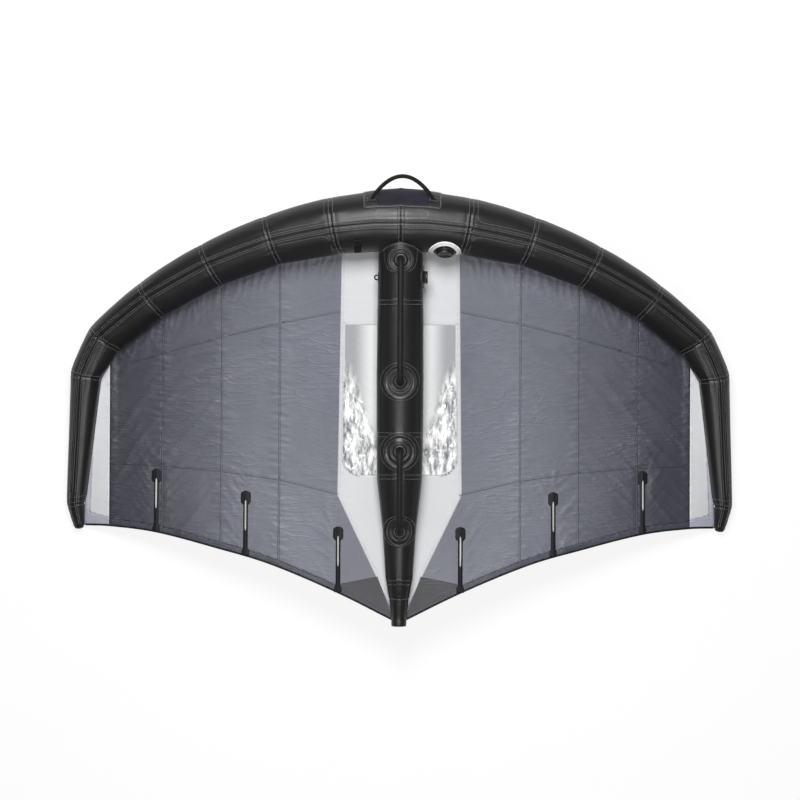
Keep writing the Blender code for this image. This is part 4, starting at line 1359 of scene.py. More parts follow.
def sheet_points(outline, step_length):
    """The outline in short steps, and a grid of places inside it."""
    edge = []
    for start, end in zip(outline, outline[1:] + outline[:1]):
        start, end = Vector(start), Vector(end)
        count = max(1, round((end - start).length / step_length))
        edge += [tuple(start.lerp(end, k / count)) for k in range(count)]
    low_x = min(p[0] for p in edge)
    low_y, high_y = min(p[1] for p in edge), max(p[1] for p in edge)
    points = list(edge)
    rows = int((high_y - low_y) / (step_length * 0.87)) + 1
    bins = {}
    for x, y in edge:
        bins.setdefault((int(x / step_length), int(y / step_length)), []).append((x, y))
    for j in range(rows):
        y = low_y + (j + 0.5) * step_length * 0.87
        crossings = []
        for a, b in zip(outline, outline[1:] + outline[:1]):
            if (a[1] > y) != (b[1] > y):
                crossings.append(a[0] + (b[0] - a[0]) * (y - a[1]) / (b[1] - a[1]))
        crossings.sort()
        for first, last in zip(crossings[::2], crossings[1::2]):
            k = int((first - low_x) / step_length)
            while True:
                x = low_x + (k + (0.5 if j % 2 else 0.0)) * step_length
                k += 1
                if x >= last:
                    break
                if x <= first:
                    continue
                bx, by = int(x / step_length), int(y / step_length)
                close = any(
                    math.hypot(x - p, y - q) < step_length * 0.55
                    for i in (-1, 0, 1)
                    for n in (-1, 0, 1)
                    for p, q in bins.get((bx + i, by + n), ())
                )
                if not close:
                    points.append((x, y))
    return edge, points


def sheet(stem, outline, side, finish, node, step_length=None, rise=None):
    """A thin sewn sheet inside an outline on the canopy."""
    sizes = wing_sizes()
    edge, points = sheet_points(outline, step_length or sizes.cloth_step)
    edges = [(k, (k + 1) % len(edge)) for k in range(len(edge))]
    found = delaunay_2d_cdt([Vector(p) for p in points], edges, [], 1, 1e-5)
    flat, faces = found[0], found[2]
    bm = bmesh.new()
    verts = []
    for p in flat:
        z = cloth_height(p.x, p.y, side) + (rise(p.x, p.y) if rise else 0.0)
        verts.append(bm.verts.new((side * p.x, p.y, z)))
    for face in faces:
        bm.faces.new([verts[k] for k in (face if side == right else face[::-1])])
    loose = [vertex for vertex in bm.verts if not vertex.link_faces]
    bmesh.ops.delete(bm, geom=loose, context="VERTS")
    lay_uv(bm, lambda co: co.xy)
    area = sum(face.calc_area() for face in bm.faces)
    made = piece(named(stem, side), bm, finish, node=named(node, side))
    solid = made.modifiers.new("thickness", "SOLIDIFY")
    solid.thickness = sizes.cloth_thickness
    solid.offset = 0.0
    width, length = cut_size(outline)
    # A bent sliver is cut from a strip narrower than the rectangle round it
    width = min(width, area / (0.36 * length))


def cut_size(outline):
    """The smallest rectangle that the outline is cut from, with a little for the creases."""
    found = []
    for turn in (math.radians(k * 3) for k in range(30)):
        c, s = math.cos(turn), math.sin(turn)
        across = [x * c + y * s for x, y in outline]
        along = [y * c - x * s for x, y in outline]
        found.append((max(across) - min(across), max(along) - min(along)))
    width, length = min(found, key=lambda size: size[0] * size[1])
    return width * 1.01, length * 1.02


def front_run(start, end):
    """The front line from one x to another, with its corners at the tube's seams."""
    low, high = min(start, end), max(start, end)
    run = [low] + [x for x in attach_x if low < x < high] + [high]
    points = [(x, front_line(x)) for x in run]
    return points if start < end else points[::-1]


def rear_run(start, end, rise):
    """The trailing edge from one x to another, moved forward by rise."""
    low, high = min(start, end), max(start, end)
    count = max(2, round((high - low) / 0.03))
    run = [low + (high - low) * k / count for k in range(count + 1)]
    points = [(x, rear_line(x) + rise) for x in run]
    return points if start < end else points[::-1]


def strut_run(start, end):
    """The sheet's edge along the strut from one y to another."""
    knots = [nose_y - back for back in strut_backs]
    low, high = min(start, end), max(start, end)
    run = [low] + sorted(y for y in knots if low < y < high) + [high]
    points = [(strut_side(y), y) for y in run]
    return points if start < end else points[::-1]


def white_line(y):
    """The white panel's outer edge."""
    part = (front_line(white_width) - y) / (front_line(white_width) - white_corner[1])
    return white_width + (white_corner[0] - white_width) * part


def window_rounding():
    """The window's rounded outer foot, from its side to its lower edge."""
    x, y = window_side() - window_corner, window_foot + window_corner
    turns = [k * math.pi / 16 for k in range(9)]
    return [(x + window_corner * math.cos(a), y - window_corner * math.sin(a)) for a in turns]


def window_side():
    return white_line((window_top + window_foot) / 2) - window_margin


def canopy_side(side):
    """All the sheets of one half, edge to edge as they are sewn."""
    half = 0.0001
    tail = (strut_side(white_tail_y), white_tail_y)
    inner = strut_side(front_line(tube_diameter / 4)) + cloth_gap
    front_y = front_line(inner) - cloth_gap
    edge = window_side()
    outline = [(inner, front_y)] + front_run(inner, white_width - half)[1:]
    outline += [(white_corner[0] - half, white_corner[1]), tail]
    outline += strut_run(tail[1] + 0.001, window_foot) + window_rounding()[::-1]
    outline += [(edge, window_top)] + strut_run(window_top, front_y - 0.001)
    sheet("white_cloth", outline, side, "white_cloth", "white_panel")

    outline = strut_run(window_foot, window_top) + [(edge, window_top)] + window_rounding()
    film_step = wing_sizes().film_step
    film = "window_sheet", outline, side, "window_film", "window", film_step
    sheet(*film, lambda x, y: crinkle(x, y, side))

    root_y = rear_line(edge_x[0]) + edge_band
    outline = front_run(white_width + half, inner_seam - half)
    outline += rear_run(inner_seam - half, strut_side(root_y) + cloth_gap, edge_band)
    outline += strut_run(root_y + 0.001, tail[1] - 0.001)
    outline += [(tail[0], tail[1] - half), (white_corner[0] + half, white_corner[1] - half)]
    sheet("canopy_cloth_inner", outline, side, "canopy_cloth", "canopy_inner")
    panels = {"middle": (inner_seam, outer_seam), "outer": (outer_seam, strip_inner)}
    for name, (first, second) in panels.items():
        outline = front_run(first + half, second - half)
        outline += rear_run(second - half, first + half, edge_band)
        sheet(f"canopy_cloth_{name}", outline, side, "canopy_cloth", f"canopy_{name}")

    foot_in = (strip_inner, strip_foot[1] - strip_foot_rise)
    outline = front_run(strip_inner + half, strip_outer - half) + [strip_foot, foot_in]
    sheet("tip_cloth", outline, side, "tip_cloth", "tip_strip")
    tip_x = attach_x[-2]
    outer = tip_x + 0.005
    outline = front_run(strip_outer + half, tip_x)
    outline += [(outer, front_line(tip_x) - 0.02), (outer, rear_line(tip_x))]
    outline += rear_run(tip_x, strip_inner + half, 0) + [foot_in, strip_foot]
    sheet("tip_gore_cloth", outline, side, "gore_cloth", "tip_gore")

    root = strut_side(rear_line(edge_x[0])) + cloth_gap
    outline = rear_run(root, strip_inner - half, 0)
    outline += rear_run(strip_inner - half, root, edge_band - half)
    band = "edge_cloth", outline, side, "edge_cloth", "trailing_edge_band"
    sheet(*band, 0.007, lambda x, y: 0.0004)


def on_cloth(x, y, side, lift=0.0005):
    """A point just above the sewn canopy, and the way it faces."""
    reach = 0.004
    x = max(x, 0.0)
    z = cloth_height(x, y, side)
    slope_x = (cloth_height(x + reach, y, side) - z) / reach
    slope_y = (cloth_height(x, y + reach, side) - z) / reach
    facing = Vector((-slope_x * side, -slope_y, 1)).normalized()
    return Vector((side * x, y, z)) + facing * lift, facing


def cloth_line(corners, side, lift=0.0005, step_length=0.010, offset=0.0):
    """A line over the canopy through corners, moved sideways by offset."""
    line = []
    for start, end in zip(corners, corners[1:]):
        start, end = Vector(start), Vector(end)
        run = end - start
        sideways = Vector((-run.y, run.x)).normalized() * offset
        count = max(1, round(run.length / step_length))
        for k in range(count + 1):
            place = start.lerp(end, k / count) + sideways
            line.append(on_cloth(place.x, place.y, side, lift))
    return line


def ribbon(bm, line, width, rise):
    """A thin tape along a line of (point, facing) pairs."""
    layer = cloth_layer(bm)
    rows = []
    last = len(line) - 1
    for k, (point, facing) in enumerate(line):
        run = (line[min(k + 1, last)][0] - line[max(k - 1, 0)][0]).normalized()
        across = facing.cross(run).normalized() * (width / 2)
        up = facing * rise
        places = point - across, point - across * 0.96 + up, point + across * 0.96 + up
        rows.append([bm.verts.new(place) for place in (*places, point + across)])
    length = 0.0
    for first, second in zip(rows, rows[1:]):
        following = length + (second[0].co - first[0].co).length
        for k in range(3):
            face = bm.faces.new((first[k], first[k + 1], second[k + 1], second[k]))
            u = (k * width / 3, (k + 1) * width / 3)
            places = ((u[0], length), (u[1], length), (u[1], following), (u[0], following))
            for loop, place in zip(face.loops, places):
                loop[layer].uv = place
        length = following
    bm.normal_update()
    if sum(face.normal.dot(line[0][1]) for face in rows[0][1].link_faces) < 0:
        made = {face for row in rows for vertex in row for face in vertex.link_faces}
        bmesh.ops.reverse_faces(bm, faces=list(made))


def from_nose(*places):
    """Places given by how far they lie behind the nose."""
    return tuple((x, nose_y - back) for x, back in places)


upper_seam = from_nose(
    (0.2505, 0.3810), (0.4885, 0.4269), (0.7298, 0.4841), (0.9185, 0.5367), (1.13, 0.5990)
)
lower_seam = from_nose(
    (0.2547, 1.1421), (0.5010, 1.0836), (0.7500, 1.0500), (0.9950, 1.0290), (1.2195, 1.0210)
)
corner_seam = from_nose((0.0895, 1.4830), (0.2421, 1.5136))


def seam_lines():
    """The canopy's seams as corner lists, over one half."""
    lines = [[(x, front_line(x) - 0.004), (x, rear_line(x) + edge_band)] for x in vertical_seams]
    return lines + [upper_seam, lower_seam]


def window_frame():
    """The window's sewn edge: its top and its outer side."""
    top = [(strut_side(window_top) + 0.004, window_top), (window_side(), window_top)]
    return top + window_rounding()


def white_edge():
    """The white panel's outer edge, from the tube to the strut's tail."""
    start = (white_width, front_line(white_width) - 0.003)
    return [start, white_corner, (strut_side(white_tail_y) + 0.002, white_tail_y)]


def hem_start():
    return strut_side(rear_line(edge_x[0])) + 0.002


def tape_piece(stem, side, finish, slot, *tapes):
    """Ribbons as one piece, each given by corners, lift, step length, width and rise."""
    bm = bmesh.new()
    for corners, lift, step_length, width, rise in tapes:
        ribbon(bm, cloth_line(corners, side, lift, step_length), width, rise)
    piece(named(stem, side), bm, finish, slot=slot)


def canopy_tapes(side):
    """Sewn-down seam tapes and hems, and the seam allowances that meet the tubes."""
    tapes = [(corners, 0.0004, 0.009, 0.008, 0.0004) for corners in seam_lines()]
    tape_piece("seam_tapes", side, "canopy_tape", "canopy_cloth", *tapes)
    tapes = (window_frame(), 0.0005, 0.008, 0.012, 0.0004), (white_edge(), 0.0005, 0.008, 0.013, 0.0004)
    tape_piece("white_tapes", side, "white_tape", "white_cloth", *tapes)
    hem = rear_run(hem_start(), attach_x[-2] - 0.002, 0.0022)
    hem = hem, 0.0010, 0.007, 0.0085, 0.0009
    tape_piece("edge_hem", side, "batten_pocket", "edge_cloth", hem)
    inner = strut_side(front_line(tube_diameter / 4))
    root = strut_run(rear_line(edge_x[0]) + 0.002, front_line(inner) + 0.004)
    root = [(x + 0.0005, y) for x, y in root]
    front = [(x, y + 0.0005) for x, y in front_run(inner + 0.001, attach_x[-2])]
    tapes = (root, 0.0008, 0.012, 0.008, 0.0006), (front, 0.0008, 0.012, 0.010, 0.0006)
    tape_piece("seam_allowance", side, "tape_cloth", "tube_cloth", *tapes)


def corner_patch(side):
    """The doubled cloth in the corner between the strut's tail and the trailing edge."""
    (x_in, y_in), (x_out, y_out) = corner_seam
    bm = bmesh.new()
    rows = []
    count, depth = 22, 14
    for k in range(count + 1):
        part = k / count
        x_top = x_in + (x_out - x_in) * part
        y_top = y_in + (y_out - y_in) * part
        x_low = 0.030 + (x_out - 0.030) * part
        y_low = rear_line(x_low) + edge_band * 0.6
        row = []
        for j in range(depth + 1):
            share = j / depth
            y = y_top + (y_low - y_top) * share
            x = max(x_top + (x_low - x_top) * share, strut_side(y) + 0.002)
            row.append(bm.verts.new(on_cloth(x, y, side, 0.0014)[0]))
        rows.append(row)
    for first, second in zip(rows, rows[1:]):
        for j in range(depth):
            corners = [first[j], first[j + 1], second[j + 1], second[j]]
            if len({tuple(round(c, 6) for c in v.co) for v in corners}) > 2:
                bm.faces.new(corners if side == right else corners[::-1])
    lay_uv(bm, lambda co: co.xy)
    upward(bm)
    piece(named("corner_patch", side), bm, "corner_cloth", slot="edge_cloth")


def canopy_stitches(side):
    """Two rows of stitches down each seam tape, and one along each hem."""
    lines = []
    for corners in seam_lines():
        for offset in (-0.0035, 0.0035):
            lines.append(cloth_line(corners, side, 0.0011, 0.010, offset))
    start = hem_start()
    lines.append(cloth_line(rear_run(start, strip_inner, edge_band - 0.002), side, 0.0012))
    lines.append(cloth_line(rear_run(start, attach_x[-2] - 0.002, 0.0058), side, 0.0012))
    lines.append(cloth_line(corner_seam, side, 0.0014, 0.008, -0.003))
    stitched(named("canopy_stitches", side), lines, "dark_thread", slot="canopy_cloth")
    lines = []
    for corners, offset in ((window_frame(), 0.0035), (white_edge(), 0.0042)):
        for way in (left, right):
            lines.append(cloth_line(corners, side, 0.0012, 0.008, way * offset))
    stitched(named("white_stitches", side), lines, "white_thread", slot="white_cloth")


# Battens: a rod in a stitched pocket, with a reinforced head

pocket_section = (
    (-1.0, 0.0006), (-0.93, 0.0016), (-0.5, 0.0020), (-0.34, 0.0030), (-0.2, 0.9), (0.0, 1.0),
    (0.2, 0.9), (0.34, 0.0030), (0.5, 0.0020), (0.93, 0.0016), (1.0, 0.0006),
)
head_corners = (
    (-0.0165, 0.050), (-0.0165, 0.010), (-0.008, 0.004), (0.008, 0.004),
    (0.0165, 0.010), (0.0165, 0.050), (-0.0165, 0.050),
)


def batten(number, x, length, side):
    """A batten's pocket and rod; it gives back the pocket's stitch lines."""
    foot = rear_line(x) + 0.002
    head = foot + length
    rows = []
    count = 60
    for k in range(count + 1):
        y = foot + length * k / count
        centre, facing = on_cloth(x, y, side, 0.0)
        back = head - y
        wide = 0.0095 + 0.0115 * (1 - step(0.045, 0.060, back))
        if back < 0.014:
            wide *= math.sqrt(max(1 - ((0.014 - back) / 0.0145) ** 2, 0.02))
        wide += 0.006 * (1 - step(0.018, 0.034, y - foot))
        rise = 0.0046 if back > 0.004 else 0.0022
        across = Vector((side, 0, 0))
        across = (across - facing * across.dot(facing)).normalized()
        row = []
        for share, height in pocket_section:
            tall = rise * height if height > 0.5 else height
            reach = wide * share if abs(share) > 0.4 else 0.0095 * share * 1.25
            row.append(centre + across * reach + facing * (tall + 0.0010))
        rows.append(row)
    bm = bmesh.new()
    ring_rows(bm, rows, closed=False)
    lay_uv(bm, lambda co: co.xy)
    upward(bm)
    node = named(f"batten_{number}", side)
    made = piece(named(f"batten_pocket_{number}", side), bm, "batten_pocket", node=node)
    solid = made.modifiers.new("thickness", "SOLIDIFY")
    solid.thickness = 0.0006
    solid.offset = 1.0

    bm = bmesh.new()
    path = [on_cloth(x, head - 0.040 - 0.125 * k / 20, side, 0.0066)[0] for k in range(21)]
    radii = [0.0036 * math.sqrt(max(1 - (abs(k - 10) / 10.3) ** 8, 0.05)) for k in range(21)]
    close_ends(bm, ring_rows(bm, path_rings(path, radii, Vector((0, 0, 1)), 12, 0.55)))
    piece(named(f"batten_rod_{number}", side), bm, "batten_rod", slot="batten_pocket")

    lines = []
    for way in (left, right):
        places = [foot + 0.006 + (length - 0.075) * k / 25 for k in range(26)]
        lines.append([on_cloth(x + way * 0.0078, y, side, 0.0030) for y in places])
    corners = [(x + across, head - back) for across, back in head_corners]
    outline = rounded(corners, 0.004, False, 0.005)
    lines.append([on_cloth(p.x, p.y, side, 0.0026) for p in outline])
    return lines


# Fittings on the strut and the leading edge

class Seat:
    """A round place on a tube, with bent rings that follow it and flat rings above its middle."""

    def __init__(self, wrap):
        self.wrap = wrap
        self.centre = wrap(0, 0, 0)
        self.along = (wrap(0.003, 0, 0) - wrap(-0.003, 0, 0)).normalized()
        across = (wrap(0, 0.003, 0) - wrap(0, -0.003, 0)).normalized()
        skew = self.along.dot(across)
        self.stretch = 1 / math.sqrt(1 - skew * skew)
        self.lean = skew * self.stretch
        self.normal = self.along.cross(across).normalized()
        self.across = self.normal.cross(self.along)
        if self.normal.dot(wrap(0, 0, 0.003) - self.centre) < 0:
            self.normal.negate()

    def place(self, along, around, lift):
        """A point on the tube at distances from the seat's middle."""
        return self.wrap(along - self.lean * around, around * self.stretch, lift)

    def bent(self, radius, lift):
        return lambda a: self.place(radius * math.cos(a), radius * math.sin(a), lift)

    def round(self, radius, lift):
        """A ring that is a circle as seen square on, on a tube of the seat's radius."""

        def ring(a):
            share = min(0.98, max(-0.98, radius * math.sin(a) / self.radius))
            return self.place(radius * math.cos(a), self.radius * math.asin(share), lift)

        return ring

    def flat(self, radius, lift):
        def ring(a):
            offset = self.along * (radius * math.cos(a)) + self.across * (radius * math.sin(a))
            return self.centre + offset + self.normal * lift

        return ring

    def bent_rings(self, *rows):
        return [self.bent(radius, lift) for radius, lift in rows]

    def flat_rings(self, *rows):
        return [self.flat(radius, lift) for radius, lift in rows]

    def line(self, radius, lift, count=64, ring=None):
        """A closed stitch line round the seat."""
        ring = ring or self.bent
        points = []
        for k in range(count + 1):
            a = math.tau * k / count
            point = ring(radius, lift)(a)
            points.append((point, (ring(radius, lift + 0.01)(a) - point).normalized()))
        return points


def tube_front_point(x, angle, lift):
    """A point on the middle of the leading edge, at an angle up from its front."""
    part = abs(x) / stations[1].place.x
    first, second = stations[0], stations[1]
    y = first.place.y + (second.place.y - first.place.y) * part - 0.009 * bump(x, 0.13)
    z = first.height + (second.height - first.height) * part
    radius = (first.radius + (second.radius - first.radius) * part) * first.miter
    reach = radius + lift
    return Vector((x, y + reach * math.cos(angle), z + reach * math.sin(angle)))


def strut_top_seat(y):
    radius = strut_section(y)[1]
    seat = Seat(lambda a, b, lift: strut_point(y + a, b / radius, lift))
    seat.radius = radius
    return seat


def strut_side_seat(y):
    radius = strut_section(y)[1]
    return Seat(lambda a, b, lift: strut_point(y + a, math.pi / 2 + b / radius, lift))


def tube_seat(x, angle):
    radius = (tube_front_point(x, 0, 0) - tube_front_point(x, math.pi, 0)).length / 2
    return Seat(lambda a, b, lift: tube_front_point(x + a, angle + b / radius, lift))


base_places = (nose_y - 0.174, nose_y - 0.674, nose_y - 0.962, nose_y - 1.292)
base_radius = 0.056
hub_radius = 0.029
hub_height = 0.016
grip_diameter = 0.0255
grip_rise = 0.066


base_rim_section = (
    (0.0004, 0.0006), (0.0, 0.0012), (0.0010, 0.0020), (0.0125, 0.0022), (0.0140, 0.0030),
    (0.0150, 0.0043), (0.0175, 0.0043), (0.0182, 0.0030), (0.0205, 0.0029), (0.0212, 0.0047),
    (0.0235, 0.0047),
)
base_hub_section = (
    (0.97, 0.0065), (0.93, 0.0125), (0.88, 0.0150), (0.78, hub_height), (0.60, hub_height),
    (0.54, hub_height - 0.0016), (0.30, hub_height - 0.0016),
)
raised_rim_section = (
    (0.0130, 0.0026), (0.0125, 0.0056), (0.0085, 0.0062), (0.0040, 0.0046), (0.0035, 0.0024),
)


def handle_base(number, y):
    """A moulded round base: a thin flange, raised rings, and a hub that holds the handle."""
    seat = strut_top_seat(y)
    profile = seat.bent_rings((0.006, 0.0006), (0.014, 0.0006), (0.028, 0.0006), (0.042, 0.0006))
    profile += seat.bent_rings(*((base_radius - inset, lift) for inset, lift in base_rim_section))
    profile += seat.bent_rings((hub_radius + 0.0028, 0.0036), (hub_radius + 0.0006, 0.0040))
    profile += seat.flat_rings(*((hub_radius * share, lift) for share, lift in base_hub_section))
    bm = lathe(profile, 72)
    piece(f"moulded_base_{number}", bm, "valve_moulding", node=f"handle_base_{number}")
    if number < 3:
        # The raised rim's finish is painted lighter, a painted highlight.
        rings = seat.bent_rings(*((base_radius - inset, lift) for inset, lift in raised_rim_section))
        ring_piece(f"base_rim_{number}", rings, "base_rim", "valve_moulding")
    lines = []
    if number > 1:
        reach = min(0.0825, 0.96 * seat.radius)
        inner = base_radius - 0.004
        section = (inner, 0.0002), (inner, 0.0012), (reach - 0.0012, 0.0010), (reach, 0.0002)
        rings = [seat.round(radius, lift) for radius, lift in section]
        ring_piece(f"base_patch_{number}", rings, "tube_cloth", "tube_cloth")
        for radius in (reach - 0.003, reach - 0.0165):
            lines.append(seat.line(radius, 0.0013, 80, seat.round))
    lines.append(seat.line(base_radius - 0.0015, 0.0024))
    bm = bmesh.new()
    for k in range(4):
        place = seat.flat(hub_radius * 0.70, hub_height)(math.pi / 4 + math.pi / 2 * k)
        screw(bm, place, seat.normal, seat.along, 0.0034)
    piece(f"base_screws_{number}", bm, "valve_moulding")
    return seat, lines


def ring_piece(name, rings, finish, slot):
    bm = washer(rings)
    lay_uv(bm, lambda co: co.xy)
    piece(name, bm, finish, slot=slot)


def screw(bm, place, normal, along, radius):
    """A small domed screw head."""
    across = normal.cross(along)
    rings = []
    for share, rise in ((1.0, 0.0), (1.0, 0.35), (0.8, 0.6), (0.45, 0.72)):
        reach = radius * share
        top = normal * (radius * rise)
        ring = []
        for a in round_turns(14):
            ring.append(place + along * (reach * math.cos(a)) + across * (reach * math.sin(a)) + top)
        rings.append(ring)
    before = set(bm.faces)
    rows = ring_rows(bm, rings)
    cap_fan(bm, rows[-1])
    cap_fan(bm, rows[0][::-1])
    made = [face for face in bm.faces if face not in before]
    bmesh.ops.recalc_face_normals(bm, faces=made)


def tube_uv(bm, rows, circumference, lengths):
    layer = cloth_layer(bm)
    count = len(rows[0])
    where = {vertex: (k, i) for i, row in enumerate(rows) for k, vertex in enumerate(row)}
    for face in bm.faces:
        spots = [where.get(loop.vert, (0, 0)) for loop in face.loops]
        turns = [k for k, i in spots]
        wrap = max(turns) - min(turns) > count / 2
        for loop, (k, i) in zip(face.loops, spots):
            turn = k + count if wrap and k < count / 2 else k
            loop[layer].uv = (circumference * turn / count, lengths[i])


def tube_piece(name, path, radii, across, finish, body, segments, squeeze=1.0, **more):
    """A round or flattened bar along a path, closed at both ends."""
    bm = bmesh.new()
    rows = ring_rows(bm, path_rings(path, radii, across, segments, squeeze))
    close_ends(bm, rows)
    tube_uv(bm, rows, math.tau * radii[len(radii) // 2], run_lengths(path))
    piece(name, bm, finish, body, **more)


def handle_grip(name, body, first, second):
    """A straight foam-covered bar between two bases, with bent ends that go down to the hubs,
    and a ribbed moulded collar over each bend."""
    rise = hub_height + grip_diameter / 2 + cloth_gap
    start, end = (seat.centre + seat.normal * rise for seat in (first, second))
    path = arch(start, end, Vector((0, 0, 1)), grip_rise, 5.0, 96)
    fine = [path[0]]
    for point in path[1:]:
        last = fine[-1]
        pieces = max(1, math.ceil((point - last).length / 0.008))
        fine += [last.lerp(point, k / pieces) for k in range(1, pieces + 1)]
    radii = []
    reaches = run_lengths(fine)
    for reach in reaches:
        near = min(reach, reaches[-1] - reach)
        radius = 0.0126 - 0.0022 * bump(near, 0.012)
        radii.append(radius + 0.0005 * math.sin(reach * 36) * step(0.02, 0.05, near) * 0.3)
    fine = with_ends(fine, (0.006, 0.0098))
    radii = [0.0050, 0.0090] + radii + [0.0090, 0.0050]
    across = Vector((1, 0, 0))
    node = name.replace("foam_bar", "handle_grip")
    tube_piece(name, fine, radii, across, "grip_foam", body, 24, node=node)
    for tag, path, sizes in (("front", fine, radii), ("rear", fine[::-1], radii[::-1])):
        collar = []
        for reach, radius in zip(run_lengths(path), sizes):
            if reach > 0.040:
                break
            ridge = 0.0004 if int(reach / 0.005) % 2 else 0.0
            size = 0.0129 + ridge if 0.009 < reach < 0.037 else 0.0124
            collar.append(min(size, radius + 0.0012))
        path = path[:len(collar)]
        finish = "valve_moulding", body, 24
        tube_piece(f"{name}_collar_{tag}", path, collar, across, *finish, slot="grip_foam")


def shell(columns, rows, point):
    """A closed patch of two skins joined at their rim; each point is given by its level,
    column and row."""
    bm = bmesh.new()
    grid = {}
    for level in (0, 1):
        for i in range(columns + 1):
            for j in range(rows + 1):
                grid[level, i, j] = bm.verts.new(point(level, i, j))
    for level in (0, 1):
        for i in range(columns):
            for j in range(rows):
                corners = (i, j), (i + 1, j), (i + 1, j + 1), (i, j + 1)
                bm.faces.new([grid[level, m, n] for m, n in corners])
    rim = [(i, 0) for i in range(columns)] + [(columns, j) for j in range(rows)]
    rim += [(i, rows) for i in range(columns, 0, -1)] + [(0, j) for j in range(rows, 0, -1)]
    for (i, j), (m, n) in zip(rim, rim[1:] + rim[:1]):
        bm.faces.new((grid[0, i, j], grid[0, m, n], grid[1, m, n], grid[1, i, j]))
    outwards(bm)
    lay_uv(bm, lambda co: (co.x, co.z - co.y))
    return bm


def patch_shell(limits, angles, walls, edge_reach=0.011, soft=0.0):
    """A cloth patch on the middle of the leading edge, thin at its edge: x limits, angles and
    walls."""
    half_width, middle_x = (limits[1] - limits[0]) / 2, (limits[0] + limits[1]) / 2
    low, high = (math.radians(angle) for angle in angles)
    tall = (high - low) / 2 * stations[0].radius
    columns = max(12, round(half_width * 2 / 0.0035))
    rows = max(8, round(tall * 2 / 0.0035))

    def point(level, i, j):
        u, v = 2 * i / columns - 1, 2 * j / rows - 1
        edge = min((1 - abs(u)) * half_width, (1 - abs(v)) * tall)
        full = step(0.0, edge_reach, edge)
        height = walls[0]
        if level:
            dent = 0.25 * bump(edge - edge_reach * 0.5, 0.002)
            height += 0.0006 + (walls[1] - walls[0] - 0.0006) * (full - dent)
            height += soft * full * noise.noise(Vector((u * 3, v * 2, 4)))
        u *= math.sqrt(1 - 0.12 * v**8)
        angle = (low + high) / 2 + v * math.sqrt(1 - 0.16 * u**10) * (high - low) / 2
        return tube_front_point(middle_x + u * half_width, angle, height)

    return shell(columns, rows, point)


def front_line_at(places, lift):
    """A stitch line on the middle of the leading edge, through (x, angle) places."""
    line = []
    for x, angle in places:
        point = tube_front_point(x, angle, lift)
        line.append((point, (tube_front_point(x, angle, lift + 0.01) - point).normalized()))
    return line


def patch_line(limits, angles, inset, lift, radius=0.01):
    """A closed stitch line inside a patch's edge."""
    tall = stations[0].radius
    low, high = (math.radians(angle) * tall for angle in angles)
    x0, x1, low, high = limits[0] + inset, limits[1] - inset, low + inset, high - inset
    outline = rounded(((x0, low), (x1, low), (x1, high), (x0, high)), radius, True, 0.005)
    return front_line_at([(p.x, p.y / tall) for p in outline], lift)


def nose_pad():
    """The doubled patch at the nose, and the smooth padded cloth on it behind the handle."""
    limits, angles = (-0.156, 0.168), (3.0, 66.0)
    bm = patch_shell(limits, angles, (0.0009, 0.0022))
    piece("nose_patch", bm, "tape_cloth", slot="tube_cloth", node="nose_handle_pad")
    lines = [patch_line(limits, angles, inset, 0.0026) for inset in (0.003, 0.0065)]
    bm = patch_shell((-0.0985, 0.1155), (3.5, 63.5), (0.0019, 0.0052), soft=0.0005)
    made = piece("nose_pad_cloth", bm, "pad_cloth")
    stitched("nose_pad_stitches", lines, "thread", slot="pad_cloth")


def nose_loop():
    """The nose handle: tubular webbing bent in an arch, its flat ends sewn down beside the pad."""
    middle, half_width, foot_angle, foot_lift = 0.006, 0.122, math.radians(46.0), 0.0145
    feet = [tube_front_point(middle + way * half_width, foot_angle, foot_lift) for way in (left, right)]
    feet[0].y = feet[1].y = max(foot.y for foot in feet)
    feet[0].z = feet[1].z = max(foot.z for foot in feet)
    slant = math.radians(25.0)
    out = Vector((0, math.cos(slant), math.sin(slant)))
    path, radii = [], []
    last = 90
    for k in range(last + 1):
        part = k / last
        path.append(feet[0].lerp(feet[1], part) + out * (0.0916 * 4 * part * (1 - part)))
        near = min(k, last - k) / (last + 1)
        radii.append(0.0089 - 0.0009 * bump(near, 0.05) + 0.00025 * math.sin(k * 1.7))
    path = with_ends(path, (0.0060, 0.0085))
    radii = [0.004, 0.0072] + radii + [0.0072, 0.004]
    kind = "webbing", "nose_loop", 24, 0.94
    tube_piece("nose_loop_webbing", path, radii, out, *kind, node="nose_handle")
    line = []
    for k in range(4, len(path) - 4):
        face = (path[k + 1] - path[k - 1]).normalized().cross(out).normalized() * left
        line.append((path[k] + face * (radii[k] + 0.0001), face))
    stitched("nose_loop_stitches", [line], "dark_thread", "nose_loop", 0.0, "webbing")
    for way in (left, right):
        foot_strap(middle, way)


def foot_strap(middle, way):
    """The flat sewn-down end of the nose handle, on the patch outside the pad."""
    ends = sorted((middle + way * 0.108, middle + way * 0.150))
    angles = (40.5, 52.0)
    bm = patch_shell(ends, angles, (0.0020, 0.0048), edge_reach=0.003)
    piece(named("nose_strap_end", way), bm, "webbing")
    lines = [patch_line(ends, angles, inset, 0.0050, 0.001) for inset in (0.003, 0.0075)]
    stitched(named("nose_strap_stitches", way), lines, "thread", slot="webbing")


